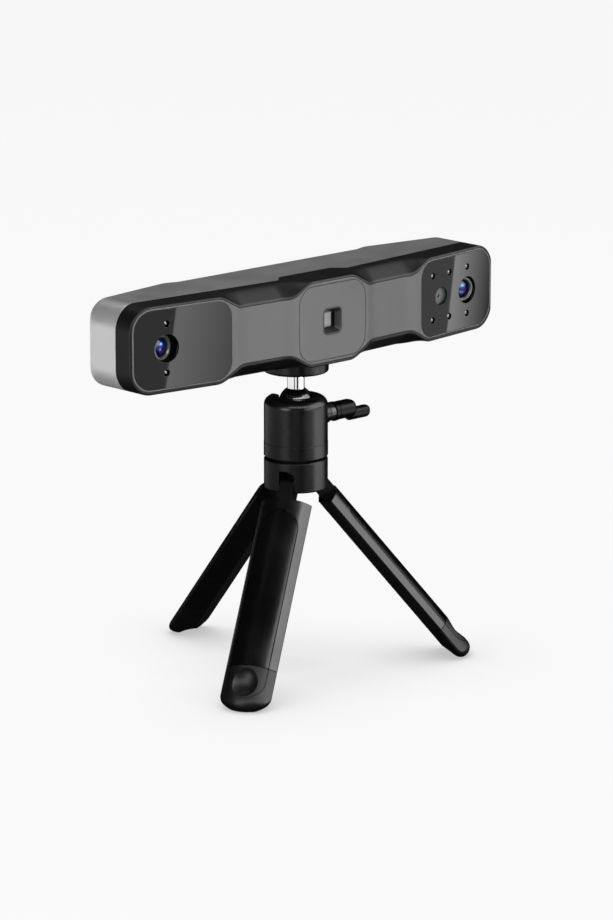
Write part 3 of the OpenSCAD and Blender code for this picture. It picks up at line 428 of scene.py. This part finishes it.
def open_leg(angle):
    """From a closed leg, drawn on the X side, to the open leg at an angle round the hub."""
    turn = Matrix.Rotation(math.radians(angle), 4, "Z") @ Matrix.Translation((PIVOT_R, 0, PIVOT_Z))
    return turn @ Matrix.Rotation(math.radians(-SPLAY), 4, "Y") @ Matrix.Translation((-PIVOT_R, 0, 0))


def foot_slice(y):
    """The foot's section at y: down the outside, round the toe, up the slope and the ridge."""
    a = abs(y)
    out = math.sqrt(HEAD_R ** 2 - a * a)
    ridge = RIDGE_R + (EDGE_R - EDGE_T - RIDGE_R) * a / LEG_HALF_W
    r = min(TOE_R, 0.5 * (out - ridge))
    low = -TOE_END + TOE_ROUND - math.sqrt(TOE_ROUND ** 2 - a * a) + arc_drop(a, LEG_HALF_W, TOE_SIDE_R)
    top = -LEG_L + FOOT_L - FOOT_GAP
    pts = [(out, top - (top - low - r) * i / SIDE_STEPS) for i in range(SIDE_STEPS)]
    pts += arc(out - r, low + r, r, 0, TOE_SLOPE - 180, TOE_STEPS)
    x, z = pts[-1]
    run = max(0.0, (x - ridge) / math.tan(math.radians(TOE_SLOPE)))
    for i in range(1, SLOPE_STEPS + 1):
        pts.append((x + (ridge - x) * i / SLOPE_STEPS, z + run * i / SLOPE_STEPS))
    z += run
    pts += [(ridge, z + (top - z) * i / RIDGE_STEPS) for i in range(1, RIDGE_STEPS + 1)]
    return [(x, y, z) for x, z in pts]


def foot_groove():
    """A cutter that carries the gap round the inlay on over the foot, as a U round the thumb rest."""
    half = INLAY_HALF_W + INLAY_GAP / 2
    mid = INLAY_END + INLAY_HALF_W
    path = [(-half, mid + GROOVE_RUN - i, -1.0, 0.0) for i in range(GROOVE_RUN)]
    for i in range(GROOVE_STEPS + 1):
        t = math.radians(180 + 180 * i / GROOVE_STEPS)
        path.append((half * math.cos(t), mid + half * math.sin(t), math.cos(t), math.sin(t)))
    path += [(half, mid + 1 + i, 1.0, 0.0) for i in range(GROOVE_RUN)]
    rings = []
    for y, z, ny, nz in path:
        ring = []
        for side, lift in ((-1, GROOVE_LIFT), (-1, -GROOVE_D), (1, -GROOVE_D), (1, GROOVE_LIFT)):
            yy, zz = y + side * ny * INLAY_GAP / 2, z + side * nz * INLAY_GAP / 2
            ring.append((math.sqrt(HEAD_R ** 2 - yy * yy) + lift, yy, zz))
        rings.append(ring)
    return loft("groove", rings)


def build_foot(name, angle):
    turns = [math.radians(-90 + 180 * i / FOOT_SLICES) for i in range(FOOT_SLICES + 1)]
    ob = loft(name, [foot_slice(LEG_HALF_W * math.sin(t)) for t in turns])
    dish = (DIMPLE_R ** 2 + DIMPLE_D ** 2) / (2 * DIMPLE_D)
    bm = bmesh.new()
    bmesh.ops.create_uvsphere(bm, u_segments=96, v_segments=64, radius=dish)
    bm.transform(Matrix.Translation((HEAD_R - DIMPLE_D + dish, 0, INLAY_END + DIMPLE_R + DIMPLE_UP)))
    cut(ob, [mesh_from(bm, "dish"), foot_groove()])
    bm = bmesh.new()
    bm.from_mesh(ob.data)
    neck = bmesh.ops.create_cube(bm, size=1.0)["verts"]
    x0, x1, z1 = RIDGE_R + NECK_IN, HEAD_R - NECK_OUT, -LEG_L + FOOT_L
    bmesh.ops.scale(bm, vec=(x1 - x0, NECK_W, NECK_H), verts=neck)
    bmesh.ops.translate(bm, vec=((x0 + x1) / 2, 0, z1 - NECK_H / 2), verts=neck)
    bm.transform(open_leg(angle))
    for v in bm.verts:
        v.co.z = max(v.co.z, 0.0)
    bm.transform(Matrix.Scale(TO_METRES, 4))
    bm.to_mesh(ob.data)
    bm.free()
    return ob


# Lock knob: a moulded barrel whose end runs down into a rounded wing.
KNOB_X, KNOB_D, KNOB_L, COLLAR_L, COLLAR_T = 29.0, 11.0, 17.3, 3.3, 0.3
WING_L, WING_H, WING_T, WING_ROOT, WING_TIP, WING_STEPS = 14.6, 7.6, 6.4, 3.0, 0.04, 12
BORE_R, BORE_L, BORE_X = 3.05, 14.5, 6.25
OVAL_STEPS, OVAL_POWER = 48, 0.8
SKIN_VOXEL, SKIN_SMOOTH, SKIN_ROUNDS = 0.22, 0.5, 6
LOCK_Z = mid_height(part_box("lock_screw"))


def oval(u, h, t, drop):
    """A ring round the knob's axis at u, of half height h and half width t, squarer than an ellipse."""
    out = []
    for i in range(OVAL_STEPS):
        a = 2 * math.pi * i / OVAL_STEPS
        c, q = math.cos(a), math.sin(a)
        y, z = math.copysign(abs(c) ** OVAL_POWER, c), math.copysign(abs(q) ** OVAL_POWER, q)
        out.append((u, t * y, -drop + h * z))
    return out


def build_knob():
    r, w = KNOB_D / 2, WING_H / 2
    body = [(0, r), (0.3, r + COLLAR_T), (COLLAR_L - 0.5, r + COLLAR_T), (COLLAR_L, r - 0.5),
            (COLLAR_L + 0.5, r), (KNOB_L - 2.4, r), (KNOB_L - 0.8, r - 0.5), (KNOB_L + 0.4, r - 1.7),
            (KNOB_L + 1.2, r - 3.4)]
    barrel = loft("barrel", [oval(u, q, q, 0) for u, q in body])
    end, root = KNOB_L + WING_L, KNOB_L - WING_ROOT
    rings = [(root + (end - w - root) * i / WING_STEPS, 1.0) for i in range(WING_STEPS)]
    turns = [math.radians(90 * i / WING_STEPS) for i in range(WING_STEPS)]
    rings += [(end - w + w * math.sin(t), math.cos(t)) for t in turns]
    rings.append((end, WING_TIP))
    wing = loft("wing", [oval(u, w * k, WING_T / 2 * k, w) for u, k in rings])
    bm = bmesh.new()
    bm.from_mesh(barrel.data)
    bm.from_mesh(wing.data)
    bpy.data.objects.remove(barrel)
    bpy.data.objects.remove(wing)
    ob = mesh_from(bm, "lock_knob_skin")
    m = ob.modifiers.new("one_skin", "REMESH")
    m.mode = "VOXEL"
    m.voxel_size = SKIN_VOXEL
    m = ob.modifiers.new("soft", "SMOOTH")
    m.factor = SKIN_SMOOTH
    m.iterations = SKIN_ROUNDS
    apply_modifiers(ob)
    along = Matrix.Translation((BORE_X, 0, 0)) @ Matrix.Rotation(math.radians(90), 4, "Y")
    cut(ob, [rod("bore", BORE_R, BORE_L, along, n=64)])
    ob.data.transform(Matrix.Scale(TO_METRES, 4) @ Matrix.Translation((KNOB_X, 0, LOCK_Z)))
    return ob


# Shader nodes.
def feed(nt, n, values):
    """Sets inputs of a node by name or number, each to a constant or to a socket that is linked in."""
    for k, v in values.items():
        if isinstance(v, bpy.types.NodeSocket):
            nt.links.new(v, n.inputs[k])
        else:
            n.inputs[k].default_value = v
    return n


def add_node(nt, kind, values=None, **traits):
    n = nt.nodes.new(kind)
    for k, v in traits.items():
        setattr(n, k, v)
    return feed(nt, n, values or {})


def math_node(nt, operation, *values):
    return add_node(nt, "ShaderNodeMath", dict(enumerate(values)), operation=operation).outputs[0]


def map_range(nt, value, from_min, from_max, to_min, to_max, **traits):
    values = {"Value": value, "From Min": from_min, "From Max": from_max, "To Min": to_min, "To Max": to_max}
    return add_node(nt, "ShaderNodeMapRange", values, **traits).outputs["Result"]


def tree_of(block):
    block.use_nodes = True
    return block.node_tree


# Finishes. Each colour is varied by broad and fine noise, with grain from a bump and soft edges from a bevel.
BROAD_SCALE, FINE_SHARE, TINT_FROM, NOISE_LOW, NOISE_HIGH = 45.0, 0.5, 0.45, 0.3, 0.7
GRAIN_DEPTH, EDGE_SAMPLES = 0.0002, 6


def rgb(v):
    """From screen values to the linear colour that nodes take."""
    return (*[c / 12.92 if c <= 0.04045 else ((c + 0.055) / 1.055) ** 2.4 for c in v], 1.0)


def grey(v):
    return (v / 255, v / 255, v / 255)


def noise(nt, scale, detail, rough):
    spot = add_node(nt, "ShaderNodeTexCoord").outputs["Object"]
    values = {"Vector": spot, "Scale": scale, "Detail": detail, "Roughness": rough}
    return add_node(nt, "ShaderNodeTexNoise", values).outputs["Fac"]


def finish(name, colour, rough, spec=0.5, metal=0.0, vary=0.06, grain=0.02, grain_scale=2600.0,
           rough_vary=0.05, edge=0.0003, alpha=1.0):
    m = bpy.data.materials.new(name)
    nt = tree_of(m)
    broad = noise(nt, BROAD_SCALE, detail=3.0, rough=0.55)
    fine = noise(nt, grain_scale, detail=2.0, rough=0.6)
    both = math_node(nt, "MULTIPLY_ADD", fine, FINE_SHARE, broad)
    tint = add_node(nt, "ShaderNodeValToRGB", {"Fac": both})
    low, high = tint.color_ramp.elements
    low.position, high.position = TINT_FROM, 1.0
    low.color = (*[v * (1 - vary) for v in rgb(colour)[:3]], 1)
    high.color = (*[v * (1 + vary) for v in rgb(colour)[:3]], 1)
    bump = add_node(nt, "ShaderNodeBump", {"Strength": grain, "Distance": GRAIN_DEPTH, "Height": fine})
    if edge:
        soft = add_node(nt, "ShaderNodeBevel", {"Radius": edge}, samples=EDGE_SAMPLES)
        feed(nt, bump, {"Normal": soft.outputs["Normal"]})
    sheen = map_range(nt, broad, NOISE_LOW, NOISE_HIGH, max(0.0, rough - rough_vary), rough + rough_vary)
    feed(nt, nt.nodes["Principled BSDF"], {
        "Metallic": metal, "Specular IOR Level": spec, "Alpha": alpha, "Roughness": sheen,
        "Base Color": tint.outputs["Color"], "Normal": bump.outputs["Normal"]})
    return m


LOOKS = {
    "silver_shell": dict(colour=(0.80, 0.80, 0.802), rough=0.40, metal=0.56, vary=0.03, grain=0.04,
                         grain_scale=3200, edge=0),
    "bezel_black": dict(colour=grey(9), rough=0.44, spec=0.2, vary=0.1, grain=0.03, edge=0.0002),
    "face_grey": dict(colour=grey(118), rough=0.45, spec=0.2, vary=0.03, grain=0.04,
                      grain_scale=3400, edge=0.0002),
    "window_black": dict(colour=grey(10), rough=0.02, spec=0.3, vary=0.1, grain=0.0,
                         rough_vary=0.01, edge=0.0002),
    "funnel_grey": dict(colour=grey(38), rough=0.4, spec=0.3),
    "clear_glass": dict(colour=(0.03, 0.035, 0.04), rough=0.05, grain=0.0, rough_vary=0.01, edge=0,
                        alpha=0.2),
    "emitter_pale": dict(colour=(0.95, 0.95, 0.96), rough=0.5, edge=0),
    "module_black": dict(colour=grey(30), rough=0.5, spec=0.3),
    "barrel_grey": dict(colour=grey(95), rough=0.35, metal=0.3, edge=0.0002),
    "lens_blue": dict(colour=(0.02, 0.06, 0.42), rough=0.06, spec=0.25, grain=0.0, rough_vary=0.01, edge=0),
    "lamp_dark": dict(colour=grey(8), rough=0.1, spec=1.0, grain=0.0, edge=0),
    "lamp_clear": dict(colour=grey(10), rough=0.1, spec=1.0, grain=0.0, edge=0),
    "frame_metal": dict(colour=grey(180), rough=0.4, metal=0.8),
    "board_green": dict(colour=(0.05, 0.25, 0.13), rough=0.5),
    "steel": dict(colour=grey(165), rough=0.32, metal=1.0),
    "black_steel": dict(colour=grey(26), rough=0.3, spec=0.4),
    "light_pipe": dict(colour=(0.75, 0.85, 0.77), rough=0.3, grain=0.0, edge=0.0001),
    "brass": dict(colour=(0.72, 0.58, 0.32), rough=0.34, metal=1.0, grain=0.04),
    "key_black": dict(colour=grey(28), rough=0.45, spec=0.3, grain=0.06),
    "ball_black": dict(colour=grey(9), rough=0.16, vary=0.1, grain=0.0, edge=0.0002),
    "chrome": dict(colour=grey(235), rough=0.04, metal=1.0, vary=0.02, grain=0.0, rough_vary=0.015),
    "head_black": dict(colour=grey(9), rough=0.28, spec=0.22, vary=0.12, grain=0.03, edge=0.0004),
    "pad_rubber": dict(colour=grey(14), rough=0.7, spec=0.15, grain=0.12, grain_scale=1800),
    "seat_plastic": dict(colour=(0.78, 0.77, 0.73), rough=0.5),
    "knob_black": dict(colour=grey(8), rough=0.3, spec=0.08, vary=0.12, edge=0),
    "leg_black": dict(colour=grey(8), rough=0.26, spec=0.3, vary=0.12, grain=0.0, edge=0),
    "inlay_black": dict(colour=grey(7), rough=0.22, spec=0.22, vary=0.12, grain=0.0, edge=0),
    "foot_rubber": dict(colour=grey(8), rough=0.45, spec=0.25, vary=0.12, grain=0.0, edge=0),
}
FINISH = {name: finish(name, **look) for name, look in LOOKS.items()}

# The lens's colours, from the bottom layer up: each spot's place and reach in shares of the lens, and colour.
# The blue is the lens's own tint; the cyan and violet spots are painted reflections and the near-white spot
# is a painted highlight.
LENS_RIM = (0.004, 0.004, 0.008, 1)
LENS_TINT_AND_PAINTED_GLINTS = [
    (dict(x=0.5, z=0.5, inner=0.30, outer=0.46), (0.02, 0.06, 0.42)),
    (dict(x=0.5, z=0.64, inner=0.08, outer=0.26), (0.05, 0.35, 0.85)),
    (dict(x=0.46, z=0.32, inner=0.03, outer=0.16), (0.30, 0.20, 0.75)),
    (dict(x=0.5, z=0.68, inner=0.03, outer=0.12), (0.75, 0.97, 1.0)),
]


def near_spot(nt, x, z, inner, outer):
    """1 within the inner distance of a point on the front of a piece, 0 beyond the outer one."""
    spot = add_node(nt, "ShaderNodeTexCoord").outputs["Generated"]
    flat = add_node(nt, "ShaderNodeVectorMath", {0: spot, 1: (1, 0, 1)}, operation="MULTIPLY")
    flat = flat.outputs["Vector"]
    far = add_node(nt, "ShaderNodeVectorMath", {0: flat, 1: (x, 0, z)}, operation="DISTANCE")
    return map_range(nt, far.outputs["Value"], inner, outer, 1.0, 0.0, interpolation_type="SMOOTHSTEP")


def lens_with_painted_glints(m):
    """Dark towards the edge round the blue lens, with a painted cyan reflection and a painted white highlight
    near its top and a painted violet reflection near its foot.
    """
    nt = m.node_tree
    last = None
    # Each spot after the blue one is a painted reflection or a painted highlight laid over the lens's colour.
    for spot, colour in LENS_TINT_AND_PAINTED_GLINTS:
        mix = add_node(nt, "ShaderNodeMix", data_type="RGBA")
        fac, under, over = [k for k in mix.inputs if k.enabled]
        under.default_value = LENS_RIM
        if last:
            nt.links.new(last, under)
        over.default_value = rgb(colour)
        nt.links.new(near_spot(nt, **spot), fac)
        last = [k for k in mix.outputs if k.enabled][0]
    feed(nt, nt.nodes["Principled BSDF"], {"Base Color": last})


lens_with_painted_glints(FINISH["lens_blue"])


def slot_of(node):
    return nodes[node].data.materials[0].name.split(".")[0]


slots = {n: slot_of(n) for n in nodes}
for n, o in nodes.items():
    o.data.materials.clear()
    o.data.materials.append(FINISH[slots[n]])


def piece(ob, name, body, node):
    ob.name = name
    ob.data.name = name
    ob.data.materials.clear()
    ob.data.materials.append(FINISH[slots[node]])
    shade(ob)
    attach(ob, body)
    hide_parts(node)


shell = to_frame(build_rear())
piece(shell, "rear_housing_skin", "scanner", "rear_housing")
piece(to_frame(build_bezel()), "front_bezel_skin", "scanner", "front_bezel")
piece(to_frame(build_face()), "face_plate_skin", "scanner", "face_plate")
for side, angle in LEGS.items():
    piece(build_foot(side + "_foot_skin", angle), side + "_foot_skin", side + "_leg", side + "_foot")
piece(build_knob(), "lock_knob_skin", "lock_knob", "lock_knob")

# Stage, in metres: a pale floor that fades in the gloss near the object, so that dark pieces stay dark below,
# and whose glow carries a painted shadow near the object.
WHITE = (1, 1, 1, 1)
FLOOR_HALF, FLOOR_GREY, FLOOR_GLOW, FLOOR_SHARE = 14.0, 0.82, 1.02, 0.9
PAINTED_SHADOW_REACH, PAINTED_SHADOW_SAMPLES, PAINTED_SHADOW_FROM, PAINTED_SHADOW_LOW = 0.09, 12, 0.35, 0.55
FADE_NEAR, FADE_FAR = 0.3, 0.8


def ray_kinds(nt):
    """Sockets that are 1 for rays that see the stage as it is, and 1 for rays of gloss."""
    rays = add_node(nt, "ShaderNodeLightPath").outputs
    return math_node(nt, "MAXIMUM", rays["Is Camera Ray"], rays["Is Transmission Ray"]), rays["Is Glossy Ray"]


def floor_with_painted_shadow():
    bm = bmesh.new()
    bmesh.ops.create_grid(bm, x_segments=1, y_segments=1, size=FLOOR_HALF)
    ob = mesh_from(bm, "floor")
    m = bpy.data.materials.new("floor")
    nt = tree_of(m)
    lit = feed(nt, nt.nodes["Principled BSDF"], {
        "Base Color": (FLOOR_GREY, FLOOR_GREY, FLOOR_GREY, 1), "Roughness": 1.0, "Specular IOR Level": 0.0})
    # Painted shadow: where ambient occlusion finds the object near, the floor's glow is darkened, standing in
    # for its contact shadow.
    ao = add_node(nt, "ShaderNodeAmbientOcclusion", {"Distance": PAINTED_SHADOW_REACH}, samples=PAINTED_SHADOW_SAMPLES)
    painted_shadow = map_range(nt, ao.outputs["AO"], PAINTED_SHADOW_FROM, 1.0, PAINTED_SHADOW_LOW, 1.0)
    spot = add_node(nt, "ShaderNodeTexCoord").outputs["Object"]
    far = add_node(nt, "ShaderNodeVectorMath", {0: spot}, operation="LENGTH").outputs["Value"]
    fade = math_node(nt, "SUBTRACT", 1.0, map_range(nt, far, FADE_NEAR, FADE_FAR, 0.0, 1.0))
    seen, gloss = ray_kinds(nt)
    level = math_node(nt, "SUBTRACT", FLOOR_GLOW, math_node(nt, "MULTIPLY", gloss, fade))
    level = math_node(nt, "MULTIPLY", painted_shadow, level)
    glow = add_node(nt, "ShaderNodeEmission", {"Color": WHITE, "Strength": level})
    share = math_node(nt, "MAXIMUM", math_node(nt, "MULTIPLY", seen, FLOOR_SHARE), gloss)
    mix = add_node(nt, "ShaderNodeMixShader", {
        "Fac": share, 1: lit.outputs["BSDF"], 2: glow.outputs["Emission"]})
    feed(nt, nt.nodes["Material Output"], {"Surface": mix.outputs["Shader"]})
    ob.data.materials.append(m)


floor_with_painted_shadow()

# Three soft lamps, all aimed at the middle of the object.
AIM_Z = 0.2


def lamp(name, spot, size, watts):
    li = bpy.data.lights.new(name, "AREA")
    li.shape = "RECTANGLE"
    li.size, li.size_y = size
    li.energy = watts
    ob = bpy.data.objects.new(name, li)
    bpy.context.scene.collection.objects.link(ob)
    ob.location = spot
    ob.rotation_euler = (Vector((0, 0, AIM_Z)) - Vector(spot)).to_track_quat("-Z", "Y").to_euler()


lamp("left_softbox", spot=(-1.9, -0.3, 0.24), size=(1.0, 1.0), watts=31.0)
lamp("top_softbox", spot=(0.3, 0.7, 2.0), size=(1.2, 1.2), watts=9.6)
lamp("front_softbox", spot=(0.15, -2.0, 0.26), size=(0.9, 1.0), watts=17.5)

# The cards light dark gloss only: the silver shell, turned to them, would mirror them as plain white.
spared = bpy.data.collections.new("spared")
spared.objects.link(shell)
spared.collection_objects[0].light_linking.link_state = "EXCLUDE"


def card(name, corners, near, far=None):
    """A four-cornered card that only gloss sees. Its glow runs from near, at its first edge, to far."""
    bm = bmesh.new()
    f = bm.faces.new([bm.verts.new(c) for c in corners])
    uv = bm.loops.layers.uv.new("run")
    for loop, u in zip(f.loops, ((0, 0), (1, 0), (1, 1), (0, 1))):
        loop[uv].uv = u
    me = bpy.data.meshes.new(name)
    bm.to_mesh(me)
    bm.free()
    ob = bpy.data.objects.new(name, me)
    bpy.context.scene.collection.objects.link(ob)
    m = bpy.data.materials.new(name)
    nt = tree_of(m)
    nt.nodes.remove(nt.nodes["Principled BSDF"])
    glow = add_node(nt, "ShaderNodeEmission", {"Color": WHITE, "Strength": near})
    if far is not None:
        spot = add_node(nt, "ShaderNodeTexCoord").outputs["UV"]
        run = add_node(nt, "ShaderNodeSeparateXYZ", {"Vector": spot}).outputs["X"]
        feed(nt, glow, {"Strength": map_range(nt, run, 0.0, 1.0, near, far)})
    feed(nt, nt.nodes["Material Output"], {"Surface": glow.outputs["Emission"]})
    me.materials.append(m)
    ob.visible_camera = False
    ob.visible_diffuse = False
    ob.visible_transmission = False
    ob.visible_volume_scatter = False
    ob.visible_shadow = False
    ob.light_linking.receiver_collection = spared


def upright(name, spot, along, width, z0, z1, near, far, lean=0.0):
    """An upright card: spot is on its first edge, along its direction, lean its shift per height."""
    a = Vector((along[0], along[1], 0)).normalized()
    p = Vector((spot[0], spot[1], 0))
    mid = spot[2]
    low, high = p + a * (z0 - mid) * lean, p + a * (z1 - mid) * lean
    up0, up1 = Vector((0, 0, z0)), Vector((0, 0, z1))
    card(name, (low + up0, low + a * width + up0, high + a * width + up1, high + up1), near, far)


def spot_at(azimuth, distance, z=0.0):
    a = math.radians(azimuth)
    return (distance * math.cos(a), distance * math.sin(a), z)


# The windows mirror two narrow strips whose near edges show as the slanted lines across the windows.
upright("left_strip", (0.1424, -0.5472, 0.0896), along=(0.8948, 0.4467), width=0.06,
        z0=0.0, z1=0.2, near=4.7, far=1.4, lean=0.134)
upright("right_strip", (0.6184, -0.3134, 0.0967), along=(0.4917, 0.8708), width=0.032,
        z0=0.0, z1=0.2, near=4.7, far=0.1, lean=0.10)
# A low card to the right gives the head its soft band.
upright("low_band", spot_at(-66, 0.42, 0.05), along=(0.643, 0.766), width=0.4,
        z0=0.0, z1=0.1, near=7.5, far=0.4)
# A large card far to the right lights the legs' right flanks and the scooped waists.
upright("right_sky", spot_at(-76, 1.35), along=(0.72, 0.69), width=1.5,
        z0=0.2, z1=1.35, near=9.5, far=3.3)

# Dark flags round the object draw the lines in the bright stem.
FLAG_H = 0.25


def flag(name, azimuth, half, distance):
    a, b = Vector(spot_at(azimuth - half, distance)), Vector(spot_at(azimuth + half, distance))
    up = Vector((0, 0, FLAG_H))
    card(name, (a, b, b + up, a + up), 0.0)


flag("left_flag", azimuth=-151.5, half=6, distance=0.45)
flag("middle_flag", azimuth=-111.5, half=10, distance=0.45)
flag("right_flag", azimuth=8.0, half=22, distance=0.42)
flag("back_flag", azimuth=58.0, half=28, distance=0.42)


def high(azimuth, elevation, distance):
    e = math.radians(elevation)
    return Vector(spot_at(azimuth, distance * math.cos(e), AIM_Z + distance * math.sin(e)))


def bow(name, first, last, low, top, distance, glow, parts):
    """A bow of cards round the object, between two azimuths and two elevations."""
    for i in range(parts):
        a, b = first + (last - first) * i / parts, first + (last - first) * (i + 1) / parts
        corners = [high(*p, distance) for p in ((a, low), (b, low), (b, top), (a, top))]
        card("%s_%d" % (name, i), corners, glow)


# A high bow in front gives ball, lenses and lamps their glints; one at the right lifts the waists.
bow("front_bow", first=-190, last=-70, low=27, top=36, distance=1.4, glow=14.0, parts=6)
bow("waist_bow", first=-48, last=8, low=38, top=56, distance=1.6, glow=3.4, parts=2)

WORLD_FILL, WORLD_GLOSS_DROP, WORLD_SEEN = 0.1, 0.08, 0.94


def studio():
    """A pale backdrop that is dim as light and nearly dark in gloss."""
    world = bpy.data.worlds.new("studio")
    bpy.context.scene.world = world
    nt = tree_of(world)
    seen, gloss = ray_kinds(nt)
    fill = math_node(nt, "SUBTRACT", WORLD_FILL, math_node(nt, "MULTIPLY", gloss, WORLD_GLOSS_DROP))
    level = math_node(nt, "MAXIMUM", fill, math_node(nt, "MULTIPLY", seen, WORLD_SEEN))
    feed(nt, nt.nodes["Background"], {"Color": WHITE, "Strength": level})


studio()

# Camera at the photograph's angle; the focal length was fitted in pixels of its height.
CAM_AZIMUTH, CAM_ELEVATION, CAM_DISTANCE = -43.483, 13.709, 2.6591
CAM_TARGET = (0.008764, 0.0, 0.125545)
FOCAL_PIXELS, PHOTO_PIXELS, SENSOR = 4425.86, 920, 36.0


def camera():
    az, el = math.radians(CAM_AZIMUTH), math.radians(CAM_ELEVATION)
    back = Vector((math.sin(az) * math.cos(el), -math.cos(az) * math.cos(el), math.sin(el)))
    cam = bpy.data.cameras.new("camera")
    cam.sensor_width = SENSOR
    cam.lens = FOCAL_PIXELS / PHOTO_PIXELS * SENSOR
    cam.clip_start = 0.05
    cam.clip_end = 60.0
    ob = bpy.data.objects.new("camera", cam)
    bpy.context.scene.collection.objects.link(ob)
    ob.location = Vector(CAM_TARGET) + back * CAM_DISTANCE
    ob.rotation_euler = back.to_track_quat("Z", "Y").to_euler()
    bpy.context.scene.camera = ob


camera()
bpy.context.scene.view_settings.view_transform = "Standard"
